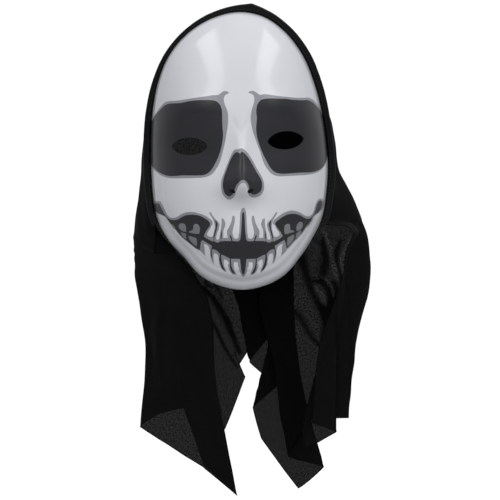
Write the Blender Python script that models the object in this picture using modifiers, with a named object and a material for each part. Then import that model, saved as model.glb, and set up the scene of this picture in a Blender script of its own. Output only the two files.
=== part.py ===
"""Skull mask with a hanging hood: a formed plastic face, the cloth band round its edge and the hood's two panels.

The origin is under the top of the hood, where the wearer's crown carries it. +Z is up and the face looks along -Y,
so +X is on the right as one looks at the face. The tables are in millimetres, and the mesh is in metres.
"""

import math

import bmesh
import bpy
import numpy as np

MM = 0.001
TABLE_ZERO = 8.0  # height above the origin of the zero that the tables' z counts from
TOUCH_GAP = 0.3  # between pieces that are sewn or pressed together
SEAM_LAP = 0.7  # how far each panel's edge runs past the seam
SEAM_STEP = 2.6  # how far the left panel's edge lies inside the right one's

# The formed face
FACE_WALL = 1.4
FACE_CELLS = 28  # cells each way across the face
FACE_CENTRE_Z = -150.0
FACE_FRONT_Y = -131.0  # the dome's foremost point, without the nose
DOME_SQUARENESS = 2.7
FACE_OUTLINE = (  # z, x of the left edge, x of the right edge
    (-5.0, 0.0, 0.0),
    (-10.5, -26.6, 23.8),
    (-21.9, -46.6, 39.9),
    (-44.7, -67.5, 58.0),
    (-70.0, -78.4, 68.9),
    (-96.0, -83.6, 76.0),
    (-125.0, -85.4, 80.6),
    (-153.0, -85.4, 82.6),
    (-178.0, -83.8, 80.8),
    (-200.0, -79.9, 77.0),
    (-221.4, -69.0, 66.8),
    (-238.5, -53.4, 55.4),
    (-255.6, -37.6, 39.9),
    (-265.0, -19.0, 21.4),
    (-268.5, 1.0, 1.0),
)
RIM_TOP_Y, RIM_EAR_Y, RIM_CHIN_Y = -68.0, -52.0, -98.0
RELIEF = (  # name, x, z, half width, reach up, reach down, rise
    ("brow_left", -36.0, -98.0, 26.0, 14.0, 12.0, 2.5),
    ("brow_right", 38.0, -96.0, 26.0, 14.0, 12.0, 2.5),
    ("socket_left", -48.0, -131.0, 26.0, 20.0, 24.0, -4.5),
    ("socket_right", 44.0, -127.0, 26.0, 20.0, 24.0, -4.5),
    ("muzzle", 1.5, -218.0, 38.0, 22.0, 22.0, 5.0),
    ("chin", 1.5, -250.0, 24.0, 9.0, 10.0, 3.0),
)
NOSE_X = 1.0
NOSE = (  # z, rise, half width
    (-100.0, 0.0, 6.0),
    (-118.0, 2.5, 7.5),
    (-135.0, 7.0, 9.0),
    (-150.0, 12.0, 11.5),
    (-160.0, 16.0, 14.0),
    (-168.0, 17.5, 16.0),
    (-176.0, 13.0, 17.0),
    (-184.0, 5.0, 16.0),
    (-192.0, 1.0, 14.0),
    (-200.0, 0.0, 12.0),
)
JAW_CREASE = {"share": 0.93, "width": 0.022, "depth": 1.3}
EYE_HOLES = (  # name, x, z, half length, half height, lift of the outer end in degrees
    ("eye_left", -48.5, -133.0, 16.7, 8.3, 0.0),
    ("eye_right", 42.3, -127.3, 17.1, 8.6, 5.0),
)
NOSTRILS = (
    ("nostril_left", -7.9, -174.9, 2.8, 1.2, -18.0),
    ("nostril_right", 9.2, -174.6, 2.8, 1.2, 24.0),
)

# The cloth band round the face's edge
BAND_WIDTHS = (  # z, width on the left, width on the right
    (-4.0, 5.4, 6.4),
    (-20.0, 4.4, 6.6),
    (-45.0, 4.4, 7.0),
    (-80.0, 5.6, 7.0),
    (-110.0, 6.8, 6.6),
    (-160.0, 7.2, 7.2),
    (-206.0, 6.6, 6.6),
)
BAND_AHEAD, BAND_BEHIND = 3.5, 6.5  # how far it reaches either side of the rim, along Y
BAND_END_Z = -205.0
BAND_STEPS = 46
BAND_SIDES = 8
PEAK_X, PEAK_RISE, PEAK_REACH = 9.0, 3.0, 9.0

# The hood
CLOTH = 1.0
HOOD_STAND_OFF = 3.9  # from the face's outline to the hood's front edge
CHEEK_Z = -204.0
UPPER_ROWS, LOWER_ROWS = 12, 12
CELLS_PER_FOLD = 3
HOOD_FULLNESS = 0.86
CROWN_SHARE = 0.035  # where the rows of cloth begin beside the peak
CROWN_TIGHTNESS = 40.0
HEAD_CENTRE_Z = -90.0
NAPE_X = 3.0  # the seam's drift to the right at the nape
HEM_CRISPNESS = 0.85
RIDGE = (  # share of the way from the peak to the nape, y, z
    (0.0, -60.6, -0.8),
    (0.18, -30.0, -1.2),
    (0.36, 5.0, -4.0),
    (0.52, 38.0, -17.0),
    (0.64, 60.0, -45.0),
    (0.76, 71.0, -88.0),
    (0.88, 69.0, -140.0),
    (1.0, 61.0, -196.0),
)
HOOD_SIDES = (  # z, x of the left side, x of the right side, where the hood swells past the band
    (-70.0, -84.0, 76.0),
    (-100.0, -89.5, 84.5),
    (-120.0, -91.5, 88.2),
    (-140.0, -93.5, 90.4),
    (-155.0, -94.0, 93.5),
    (-168.0, -96.2, 100.5),
    (-180.0, -98.2, 107.0),
    (-195.0, -100.4, 113.0),
    (-204.0, -101.6, 116.0),
)
# Each fold of a panel from its free front edge to the seam at the back: name, share of the way round the head,
# then x and y at the chin, x and y at the chest, and x, y and z at the hem.
CHIN_FALL, CHEST_FALL = 0.2, 0.62  # shares of the way from the cheek to the hem
LEFT_FOLDS = (
    ("turned_edge", 0.00, -84.0, -30.0, -64.6, -36.0, -35.2, -40.0, -436.0),
    ("front_fold", 0.07, -42.0, -66.0, -22.5, -60.0, -3.8, -51.0, -464.0),
    ("front_panel", 0.17, -70.0, -57.0, -58.0, -55.0, -35.9, -53.0, -437.4),
    ("side_fold", 0.34, -101.8, -14.0, -91.2, -14.0, -96.3, -20.0, -399.4),
    ("side_panel", 0.52, -86.0, 24.0, -78.0, 18.0, -78.9, 10.0, -387.6),
    ("rear_hollow", 0.66, -58.0, 38.0, -57.0, 31.0, -53.2, 23.0, -381.9),
    ("rear_fold", 0.80, -36.0, 57.0, -29.0, 53.0, -16.6, 46.0, -404.5),
    ("centre_fold", 0.90, -4.0, 49.0, 3.5, 44.0, 3.8, 41.0, -352.5),
    ("centre_tuck", 0.96, -9.0, 54.0, -5.7, 52.0, -1.9, 50.0, -340.6),
    ("seam", 1.00, 3.0, 60.0, 5.0, 60.0, 5.7, 60.0, -327.8),
)
RIGHT_FOLDS = (
    ("turned_edge", 0.00, 95.0, -46.0, 74.5, -46.0, 68.0, -45.0, -395.2),
    ("front_pleat", 0.06, 98.0, -38.0, 90.3, -42.0, 90.9, -42.0, -403.8),
    ("pleat_back", 0.11, 97.0, -30.0, 79.0, -34.0, 61.0, -35.0, -420.0),
    ("pleat_hollow", 0.16, 101.0, -24.0, 79.0, -28.0, 59.0, -29.0, -392.0),
    ("side_fold", 0.27, 121.4, -5.0, 107.5, -9.0, 102.4, -11.0, -391.0),
    ("side_panel", 0.40, 106.0, 22.0, 95.0, 19.0, 84.6, 18.0, -389.5),
    ("rear_panel", 0.54, 78.0, 37.0, 70.0, 31.0, 63.6, 30.0, -396.0),
    ("pleat_root", 0.66, 24.2, 44.0, 31.4, 40.0, 44.2, 39.0, -428.7),
    ("pleat_crest", 0.73, 50.5, 47.0, 57.0, 43.5, 79.8, 42.5, -438.9),
    ("corner", 0.78, 37.0, 49.2, 40.0, 46.5, 55.1, 46.0, -459.8),
    ("corner_panel", 0.805, 34.0, 50.4, 33.5, 48.0, 19.6, 47.4, -412.0),
    ("inner_crest", 0.83, 28.5, 51.4, 26.6, 49.2, 11.4, 48.8, -381.9),
    ("inner_root", 0.88, 37.0, 53.6, 35.0, 52.0, 34.2, 51.6, -361.5),
    ("centre_root", 0.92, 10.0, 55.8, 7.0, 54.6, 7.6, 54.2, -338.2),
    ("centre_crest", 0.96, 20.0, 58.0, 22.0, 57.4, 25.6, 57.0, -316.4),
    ("seam", 1.00, 3.0, 60.4, 5.0, 60.4, 5.7, 60.2, -327.8),
)

COLOURS = {  # base colour, roughness
    "face_shell": ((0.78, 0.79, 0.82, 1.0), 0.22),
    "edge_band": ((0.010, 0.010, 0.010, 1.0), 0.75),
    "hood_left": ((0.008, 0.008, 0.008, 1.0), 0.85),
    "hood_right": ((0.008, 0.008, 0.008, 1.0), 0.85),
}


def curve_through(stations, values, at, softness=1.0):
    """A curve through values at the stations, read at each place in at: softness 1 is smooth, and 0 is straight."""
    stations = np.asarray(stations, float)
    values = np.asarray(values, float)
    slopes = np.gradient(values, stations, axis=0)
    at = np.asarray(at, float)
    first = np.clip(np.searchsorted(stations, at, side="right") - 1, 0, len(stations) - 2)
    step = stations[first + 1] - stations[first]
    t = (at - stations[first]) / step
    shape = at.shape + (1,) * (values.ndim - 1)
    t, step = t.reshape(shape), step.reshape(shape)
    near, far = values[first], values[first + 1]
    smooth = (
        (2 * t**3 - 3 * t**2 + 1) * near
        + (t**3 - 2 * t**2 + t) * step * slopes[first]
        + (3 * t**2 - 2 * t**3) * far
        + (t**3 - t**2) * step * slopes[first + 1]
    )
    return softness * smooth + (1 - softness) * (near + (far - near) * t)


# The face


def outline_radius(angle):
    """How far the face's outline is from its centre, at an angle from +X towards +Z."""
    points = [(x, z) for z, left, right in FACE_OUTLINE for x in sorted({left, right})]
    polar = sorted((math.atan2(z - FACE_CENTRE_Z, x), math.hypot(z - FACE_CENTRE_Z, x)) for x, z in points)
    full = 2 * math.pi
    below = [(a - full, r) for a, r in polar[-3:]]
    above = [(a + full, r) for a, r in polar[:3]]
    angles, radii = zip(*(below + polar + above))
    return curve_through(angles, radii, np.arctan2(np.sin(angle), np.cos(angle)))


def rim_y(z):
    """How far back the face's edge lies at a height: furthest at the ears, and forward at the crown and the chin."""
    up = np.clip((z - FACE_CENTRE_Z) / (FACE_OUTLINE[0][0] - FACE_CENTRE_Z), 0, 1)
    down = np.clip((FACE_CENTRE_Z - z) / (FACE_CENTRE_Z - FACE_OUTLINE[-1][0]), 0, 1)
    return RIM_EAR_Y + (RIM_TOP_Y - RIM_EAR_Y) * up**2 + (RIM_CHIN_Y - RIM_EAR_Y) * down**1.8


def face_points(share, angle):
    """Points of the face's outer surface, at a share of the way out to its edge."""
    radius = outline_radius(angle)
    x = share * radius * np.cos(angle)
    z = FACE_CENTRE_Z + share * radius * np.sin(angle)
    edge_y = rim_y(FACE_CENTRE_Z + radius * np.sin(angle))
    height = np.clip(1 - share**DOME_SQUARENESS, 0, 1) ** 0.5
    y = edge_y + (FACE_FRONT_Y - edge_y) * height
    inside = np.clip((1 - share) / 0.12, 0, 1)
    for _, at_x, at_z, wide, up, down, rise in RELIEF:
        tall = np.where(z > at_z, up, down)
        y = y - inside * rise * np.exp(-(((x - at_x) / wide) ** 2) - ((z - at_z) / tall) ** 2)
    up_nose = [row[0] for row in NOSE[::-1]]
    shape = curve_through(up_nose, [row[1:] for row in NOSE[::-1]], np.clip(z, up_nose[0], up_nose[-1]))
    y = y - shape[..., 0] * np.exp(-(((x - NOSE_X) / shape[..., 1]) ** 2))
    low = np.clip(-np.sin(angle) * 1.6, 0, 1)
    crease = np.exp(-(((share - JAW_CREASE["share"]) / JAW_CREASE["width"]) ** 2))
    return np.stack([x, y + low * crease * JAW_CREASE["depth"], z], axis=-1)


def square_to_disc(across, up):
    """The share and the angle, on a round disc, of a point of a square from -1 to 1 each way."""
    sideways = np.abs(across) > np.abs(up)
    reach = np.where(sideways, across, up)
    safe = np.where(np.abs(reach) < 1e-9, 1.0, reach)
    turn = np.where(sideways, math.pi / 4 * up / safe, math.pi / 2 - math.pi / 4 * across / safe)
    turn = np.where(reach < 0, turn + math.pi, turn)
    return np.sin(np.abs(reach) * math.pi / 2), turn


def grid_object(name, points, collection, flip=False):
    """An object whose faces join a grid of points, given in millimetres as rows of columns."""
    mesh = bmesh.new()
    rows = [[mesh.verts.new(tuple(p * MM)) for p in row] for row in points]
    for r in range(len(rows) - 1):
        for c in range(len(rows[0]) - 1):
            corners = [rows[r][c], rows[r][c + 1], rows[r + 1][c + 1], rows[r + 1][c]]
            mesh.faces.new(corners[::-1] if flip else corners)
    data = bpy.data.meshes.new(name)
    mesh.to_mesh(data)
    mesh.free()
    piece = bpy.data.objects.new(name, data)
    piece.location.z = TABLE_ZERO * MM
    collection.objects.link(piece)
    return piece


def thicken(piece, wall, offset, even=True):
    """Gives an open surface a wall: offset 0 is half to each side, and -1 all behind the faces."""
    solid = piece.modifiers.new("wall", "SOLIDIFY")
    solid.thickness = wall * MM
    solid.offset = offset
    solid.use_even_offset = even
    solid.use_rim = True


def hole_cutter(name, x, z, half_length, half_height, lift, cutters):
    """An almond-shaped bar along Y that cuts an eye or a nostril."""
    outline = bpy.data.curves.new(name, "CURVE")
    outline.dimensions = "2D"
    outline.fill_mode = "BOTH"
    outline.extrude = 60 * MM
    steps = 28
    spline = outline.splines.new("POLY")
    spline.points.add(steps - 1)
    spline.use_cyclic_u = True
    for i, point in enumerate(spline.points):
        turn = 2 * math.pi * i / steps
        across = half_length * math.cos(turn)
        up = half_height * math.sin(turn) * abs(math.sin(turn)) ** 0.25
        point.co = (across * MM, up * MM, 0, 1)
    flat = bpy.data.objects.new(name + "_outline", outline)
    cutters.objects.link(flat)
    bpy.context.view_layer.update()
    solid = bpy.data.meshes.new_from_object(flat.evaluated_get(bpy.context.evaluated_depsgraph_get()))
    bpy.data.objects.remove(flat)
    mesh = bmesh.new()
    mesh.from_mesh(solid)
    bmesh.ops.remove_doubles(mesh, verts=mesh.verts, dist=1e-6)
    bmesh.ops.recalc_face_normals(mesh, faces=mesh.faces)
    mesh.to_mesh(solid)
    mesh.free()
    cutter = bpy.data.objects.new(name, solid)
    cutter.rotation_euler = (math.pi / 2, -math.radians(lift) * math.copysign(1, x), 0)
    cutter.location = (x * MM, FACE_FRONT_Y * MM, (z + TABLE_ZERO) * MM)
    cutter.hide_render = True
    cutter.display_type = "WIRE"
    cutters.objects.link(cutter)
    return cutter


def make_face(parts, cutters):
    steps = np.linspace(-1, 1, FACE_CELLS + 1)
    across, up = np.meshgrid(steps, steps)
    share, angle = square_to_disc(across, up)
    face = grid_object("face_shell", face_points(share, angle), parts)
    thicken(face, FACE_WALL, -1)
    for hole in EYE_HOLES + NOSTRILS:
        cut = face.modifiers.new(hole[0], "BOOLEAN")
        cut.operation = "DIFFERENCE"
        cut.object = hole_cutter(*hole, cutters)
    return face


# The band


def edge_frame(angle):
    """The face's edge at an angle, and the way straight out from the outline there."""
    nearby = np.array([angle - 0.01, angle, angle + 0.01])
    radius = outline_radius(nearby)
    x, z = radius * np.cos(nearby), FACE_CENTRE_Z + radius * np.sin(nearby)
    along = np.array([x[2] - x[0], z[2] - z[0]])
    along /= np.hypot(*along)
    return np.array([x[1], float(rim_y(z[1])), z[1]]), np.array([along[1], 0.0, -along[0]])


def cheek_angle(side):
    """The angle at which the outline passes the height of the band's end, on one side."""
    angles = np.linspace(-math.pi / 2, math.pi / 2, 721)
    angles = angles if side > 0 else math.pi - angles
    heights = FACE_CENTRE_Z + outline_radius(angles) * np.sin(angles)
    return float(np.interp(BAND_END_Z, heights, angles))


def peak_rise(x):
    """How much the band and the hood rise into the small peak at the top of the seam."""
    return PEAK_RISE * math.exp(-abs(x - PEAK_X) / PEAK_REACH)


def band_width(x, z):
    """How wide the band is, from its inner to its outer edge, at a place on the face's edge."""
    heights = [row[0] for row in BAND_WIDTHS[::-1]]
    left, right = curve_through(heights, [row[1:] for row in BAND_WIDTHS[::-1]], np.clip(z, *heights[:: len(heights) - 1]))
    share = np.clip(0.5 + x / 30.0, 0, 1)
    return float(left + (right - left) * share)


def make_band(parts):
    angles = np.linspace(cheek_angle(1), cheek_angle(-1), BAND_STEPS)
    rings = []
    for angle in angles:
        edge, out = edge_frame(angle)
        top = max(0.0, math.sin(angle)) ** 6
        lift = peak_rise(edge[0]) * top
        half_wide = (band_width(edge[0], edge[2]) + lift) / 2
        centre = edge + out * (TOUCH_GAP + half_wide)
        centre[1] += (BAND_BEHIND - BAND_AHEAD) / 2
        half_deep = (BAND_BEHIND + BAND_AHEAD) / 2
        ring = []
        for i in range(BAND_SIDES):
            turn = 2 * math.pi * (i + 0.5) / BAND_SIDES
            wide = math.copysign(abs(math.cos(turn)) ** 0.6, math.cos(turn)) * half_wide
            deep = math.copysign(abs(math.sin(turn)) ** 0.6, math.sin(turn)) * half_deep
            ring.append(centre + out * wide + np.array([0.0, deep, 0.0]))
        rings.append(ring)
    mesh = bmesh.new()
    loops = [[mesh.verts.new(tuple(p * MM)) for p in ring] for ring in rings]
    for near, far in zip(loops, loops[1:]):
        for i in range(BAND_SIDES):
            j = (i + 1) % BAND_SIDES
            mesh.faces.new((near[i], near[j], far[j], far[i]))
    mesh.faces.new(loops[0][::-1])
    mesh.faces.new(loops[-1])
    bmesh.ops.recalc_face_normals(mesh, faces=mesh.faces)
    data = bpy.data.meshes.new("edge_band")
    mesh.to_mesh(data)
    mesh.free()
    band = bpy.data.objects.new("edge_band", data)
    band.location.z = TABLE_ZERO * MM
    parts.objects.link(band)
    return band


# The hood


def front_edge(side, share):
    """The panel's front edge, behind the band, from the peak (0) to the cheek (1)."""
    peak = math.acos(min(1.0, PEAK_X / 150.0))
    edge, out = edge_frame(peak + (cheek_angle(side) - peak) * share)
    lift = peak_rise(edge[0]) * max(0.0, 1 - 4 * share)
    point = edge + out * (HOOD_STAND_OFF + lift)
    point[1] += BAND_BEHIND + TOUCH_GAP
    return point


def swell(side, z, around, at_share, natural_x):
    """How far the hood stands out past its plain arc: most at the side fold, and nothing at the edge or the seam."""
    heights = [row[0] for row in HOOD_SIDES[::-1]]
    wanted = [row[1 if side < 0 else 2] for row in HOOD_SIDES[::-1]]
    reach = abs(float(curve_through(heights, wanted, np.clip(z, heights[0], heights[-1])))) - abs(natural_x)
    fade = float(np.clip((HOOD_SIDES[0][0] - z) / 30.0, 0, 1))
    before = np.sin(np.clip(around / at_share, 0, 1) * math.pi / 2) ** 2
    after = np.cos(np.clip((around - at_share) / (1 - at_share), 0, 1) * math.pi / 2) ** 2
    return side * max(0.0, reach) * fade * np.where(around < at_share, before, after)


def keep_behind_band(x, z, share):
    """Draws points in to the face's outline, as seen from the front, so that the crown hides behind the band."""
    angle = np.arctan2(z - FACE_CENTRE_Z, x)
    radius = np.hypot(x, z - FACE_CENTRE_Z)
    limit = outline_radius(angle) + HOOD_STAND_OFF
    drawn = (radius**-CROWN_TIGHTNESS + limit**-CROWN_TIGHTNESS) ** (-1 / CROWN_TIGHTNESS)
    radius = radius + (drawn - radius) * share
    return radius * np.cos(angle), FACE_CENTRE_Z + radius * np.sin(angle)


def upper_row(side, share, around, side_share):
    """Points of the hood along one arc from the front edge to the ridge at the back, at each share around."""
    front = front_edge(side, share)
    along = (share - CROWN_SHARE) / (1 - CROWN_SHARE)
    ridge_y, ridge_z = curve_through([r[0] for r in RIDGE], [r[1:] for r in RIDGE], along)
    out = np.array([ridge_y, ridge_z - HEAD_CENTRE_Z])
    ridge_y, ridge_z = np.array([ridge_y, ridge_z]) - out / np.hypot(*out) * (SEAM_STEP if side < 0 else 0.0)
    seam_x = PEAK_X * (1 - share) ** 2 + NAPE_X * share**2 - side * SEAM_LAP
    around = np.append(np.asarray(around), side_share)
    towards = np.sin(around * math.pi / 2) ** HOOD_FULLNESS
    away = np.clip(np.cos(around * math.pi / 2), 0, 1) ** HOOD_FULLNESS
    x = seam_x + (front[0] - seam_x) * away
    y = front[1] + (ridge_y - front[1]) * towards
    z = front[2] + (ridge_z - front[2]) * towards
    x, z = keep_behind_band(x, z, np.clip(around / 0.12, 0, 1))
    x = x + swell(side, z[-1], around, side_share, x[-1])
    return np.stack([x, y, z], axis=-1)[:-1]


def panel_lines(side, folds):
    """The hood panel as rows of points, one for each fold line, and how soft each row is."""
    around = [fold[1] for fold in folds]
    side_share = next(fold[1] for fold in folds if fold[0] == "side_fold")
    shares = np.linspace(CROWN_SHARE, 1, UPPER_ROWS)
    upper = [upper_row(side, share, around, side_share) for share in shares]
    chin, chest, hem = [], [], []
    for name, _, chin_x, chin_y, chest_x, chest_y, hem_x, hem_y, hem_z in folds:
        lap = -side * SEAM_LAP if name == "seam" else 0.0
        inside = SEAM_STEP if name == "seam" and side < 0 else 0.0
        chin.append((chin_x + lap, chin_y - inside, CHEEK_Z + (hem_z - CHEEK_Z) * CHIN_FALL))
        chest.append((chest_x + lap, chest_y - inside, CHEEK_Z + (hem_z - CHEEK_Z) * CHEST_FALL))
        hem.append((hem_x + lap, hem_y - inside, hem_z))
    stations = (-0.09, 0.0, CHIN_FALL, CHEST_FALL, 1.0)
    lines = np.array([upper[-2], upper[-1], chin, chest, hem])
    falls = np.linspace(0, 1, LOWER_ROWS + 1)[1:]
    softness = [1.0] * UPPER_ROWS + list(1 - HEM_CRISPNESS * falls**2)
    return np.concatenate([np.array(upper), curve_through(stations, lines, falls)]), softness


def make_panel(name, side, folds, parts):
    count = len(folds)
    fine = np.linspace(0, count - 1, (count - 1) * CELLS_PER_FOLD + 1)
    rows = [curve_through(np.arange(count), line, fine, soft) for line, soft in zip(*panel_lines(side, folds))]
    panel = grid_object(name, rows, parts, flip=side > 0)
    thicken(panel, CLOTH, 0, even=False)
    return panel


# The whole


def paint(piece):
    colour, roughness = COLOURS[piece.name]
    material = bpy.data.materials.new(piece.name)
    material.use_nodes = True
    shader = material.node_tree.nodes["Principled BSDF"]
    shader.inputs["Base Color"].default_value = colour
    shader.inputs["Roughness"].default_value = roughness
    piece.data.materials.append(material)
    piece.data.shade_smooth()
    piece.data.set_sharp_from_angle(angle=math.radians(50))


def main():
    for old in list(bpy.data.objects):
        bpy.data.objects.remove(old)
    parts = bpy.data.collections.new("skull_mask")
    cutters = bpy.data.collections.new("cutters")
    for collection in (parts, cutters):
        bpy.context.scene.collection.children.link(collection)
    for piece in (
        make_face(parts, cutters),
        make_band(parts),
        make_panel("hood_left", -1, LEFT_FOLDS, parts),
        make_panel("hood_right", 1, RIGHT_FOLDS, parts),
    ):
        paint(piece)


main()
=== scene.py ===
# Skull mask with a sheer black hood: the looks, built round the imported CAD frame.
# The tables are in millimetres as one looks at the face: x to the right, z up, y to the back.
import math

import bmesh
import bpy
import numpy as np
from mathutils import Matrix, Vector, noise
from mathutils.geometry import delaunay_2d_cdt


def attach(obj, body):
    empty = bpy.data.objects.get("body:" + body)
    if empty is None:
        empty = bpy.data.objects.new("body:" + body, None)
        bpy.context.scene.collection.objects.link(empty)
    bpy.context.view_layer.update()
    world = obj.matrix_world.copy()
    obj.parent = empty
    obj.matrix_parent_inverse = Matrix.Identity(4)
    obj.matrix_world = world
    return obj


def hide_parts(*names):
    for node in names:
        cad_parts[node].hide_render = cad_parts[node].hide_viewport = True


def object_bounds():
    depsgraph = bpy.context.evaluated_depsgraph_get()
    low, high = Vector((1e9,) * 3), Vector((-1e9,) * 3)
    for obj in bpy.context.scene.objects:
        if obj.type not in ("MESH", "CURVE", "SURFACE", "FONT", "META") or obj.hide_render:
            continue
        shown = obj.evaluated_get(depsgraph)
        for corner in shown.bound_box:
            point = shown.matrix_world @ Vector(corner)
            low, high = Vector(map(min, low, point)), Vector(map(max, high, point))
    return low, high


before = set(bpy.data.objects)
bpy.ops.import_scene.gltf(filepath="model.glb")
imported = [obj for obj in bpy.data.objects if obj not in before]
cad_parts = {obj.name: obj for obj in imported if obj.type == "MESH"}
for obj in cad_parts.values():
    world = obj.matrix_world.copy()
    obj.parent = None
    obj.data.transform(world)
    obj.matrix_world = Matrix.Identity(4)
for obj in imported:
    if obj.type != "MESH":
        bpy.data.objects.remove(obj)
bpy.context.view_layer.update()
mm = 0.001
tableZero = 8.0  # height above the origin of the zero that the tables' z counts from


def blend(t, near, far, leaving, arriving):  # a smooth step from near to far, with its slopes at both ends
    return (
        (2 * t**3 - 3 * t**2 + 1) * near + (t**3 - 2 * t**2 + t) * leaving
        + (3 * t**2 - 2 * t**3) * far + (t**3 - t**2) * arriving
    )


def curveThrough(stations, values, at, softness=1.0):
    stations, values, at = np.asarray(stations, float), np.asarray(values, float), np.asarray(at, float)
    slopes = np.gradient(values, stations, axis=0)
    first = np.clip(np.searchsorted(stations, at, side="right") - 1, 0, len(stations) - 2)
    step = stations[first + 1] - stations[first]
    t = (at - stations[first]) / step
    shape = at.shape + (1,) * (values.ndim - 1)
    t, step = t.reshape(shape), step.reshape(shape)
    near, far = values[first], values[first + 1]
    smooth = blend(t, near, far, step * slopes[first], step * slopes[first + 1])
    return softness * smooth + (1 - softness) * (near + (far - near) * t)  # softness 0 is straight


def tableAt(table, at):  # the columns after the first, at a value of the first
    rows = sorted(table)
    stations = [row[0] for row in rows]
    return curveThrough(stations, [row[1:] for row in rows], np.clip(at, stations[0], stations[-1]))


def meshFrom(name, points, faces):
    data = bpy.data.meshes.new(name)
    placed = np.asarray(points, float) + np.array([0.0, 0.0, tableZero])
    data.from_pydata((placed * mm).tolist(), [], [list(map(int, f)) for f in faces])
    return placePiece(name, data)


def placePiece(name, data):
    piece = bpy.data.objects.new(name, data)
    bpy.context.scene.collection.objects.link(piece)
    return piece


def ringMesh(name, rings):  # a closed roll of cloth through rings of points
    sides, last = len(rings[0]), (len(rings) - 1) * len(rings[0])
    faces = [tuple(range(sides))[::-1], tuple(range(last, last + sides))]
    for start in range(0, last, sides):
        for i in range(sides):
            j = (i + 1) % sides
            faces.append((start + i, start + j, start + sides + j, start + sides + i))
    piece = meshFrom(name, np.reshape(rings, (-1, 3)), faces)
    shape = bmesh.new()
    shape.from_mesh(piece.data)
    bmesh.ops.recalc_face_normals(shape, faces=shape.faces)
    shape.to_mesh(piece.data)
    shape.free()
    piece.data.shade_smooth()
    return piece


def setValues(piece, name, domain, values):
    attribute = piece.data.attributes.new(name, "FLOAT", domain)
    attribute.data.foreach_set("value", np.asarray(values, np.float32).ravel())


def fitOut(piece, material, slotName, *nodes):
    piece.data.materials.clear()
    piece.data.materials.append(material)
    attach(piece, "root")
    if nodes:
        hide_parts(*nodes)
    return piece


# shader helpers

handling = {"patchDetail": 4.0, "patchEdge": 0.55, "fineScale": 24.0, "fineDetail": 2.0, "fineShare": 0.35}
weaving = {"stretch": 0.3, "cloudScale": 0.3, "gapsFrom": 0.36, "gapsTo": 0.64}


def addNode(tree, kind, settings=None, **inputs):
    node = tree.nodes.new(kind)
    for key, value in (settings or {}).items():
        setattr(node, key, value)
    for key, value in inputs.items():
        key = int(key[1:]) if key[0] == "i" and key[1:].isdigit() else key.replace("_", " ")
        if isinstance(value, bpy.types.NodeSocket):
            tree.links.new(value, node.inputs[key])
        else:
            node.inputs[key].default_value = value
    return node


def newGroup(name, inputs, outputs):
    tree = bpy.data.node_groups.new(name, "ShaderNodeTree")
    for label, kind, value in inputs:
        socket = tree.interface.new_socket(label, in_out="INPUT", socket_type=kind)
        if value is not None:
            socket.default_value = value
    for label, kind in outputs:
        tree.interface.new_socket(label, in_out="OUTPUT", socket_type=kind)
    return tree, tree.nodes.new("NodeGroupInput"), tree.nodes.new("NodeGroupOutput")


def calc(tree, operation, *values):
    inputs = {f"i{k}": value for k, value in enumerate(values)}
    return addNode(tree, "ShaderNodeMath", {"operation": operation}, **inputs).outputs[0]


def makeHandling():
    tree, given, out = newGroup(
        "handlingMarks",
        [("Vector", "NodeSocketVector", None), ("Colour", "NodeSocketColor", (1, 1, 1, 1)),
         ("Roughness", "NodeSocketFloat", 0.3), ("Patch Scale", "NodeSocketFloat", 30.0),
         ("Colour Change", "NodeSocketFloat", 0.05), ("Roughness Change", "NodeSocketFloat", 0.1)],
        [("Colour", "NodeSocketColor"), ("Roughness", "NodeSocketFloat"), ("Height", "NodeSocketFloat")],
    )
    place, patchScale = given.outputs["Vector"], given.outputs["Patch Scale"]
    wide = addNode(tree, "ShaderNodeTexNoise", None, Vector=place, Scale=patchScale,
                   Detail=handling["patchDetail"], Roughness=handling["patchEdge"])
    fine = addNode(tree, "ShaderNodeTexNoise", None, Vector=place, Detail=handling["fineDetail"],
                   Scale=calc(tree, "MULTIPLY", patchScale, handling["fineScale"]))
    wideShift = calc(tree, "SUBTRACT", wide.outputs["Fac"], 0.5)
    fineShift = calc(tree, "SUBTRACT", fine.outputs["Fac"], 0.5)
    both = calc(tree, "ADD", wideShift, calc(tree, "MULTIPLY", fineShift, handling["fineShare"]))
    bright = calc(tree, "ADD", 1.0, calc(tree, "MULTIPLY", both, given.outputs["Colour Change"]))
    tinted = addNode(tree, "ShaderNodeVectorMath", {"operation": "SCALE"},
                     Vector=given.outputs["Colour"], Scale=bright)
    change = calc(tree, "MULTIPLY", both, given.outputs["Roughness Change"])
    tree.links.new(tinted.outputs[0], out.inputs["Colour"])
    tree.links.new(calc(tree, "ADD", given.outputs["Roughness"], change), out.inputs["Roughness"])
    tree.links.new(wide.outputs["Fac"], out.inputs["Height"])
    return tree


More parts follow.
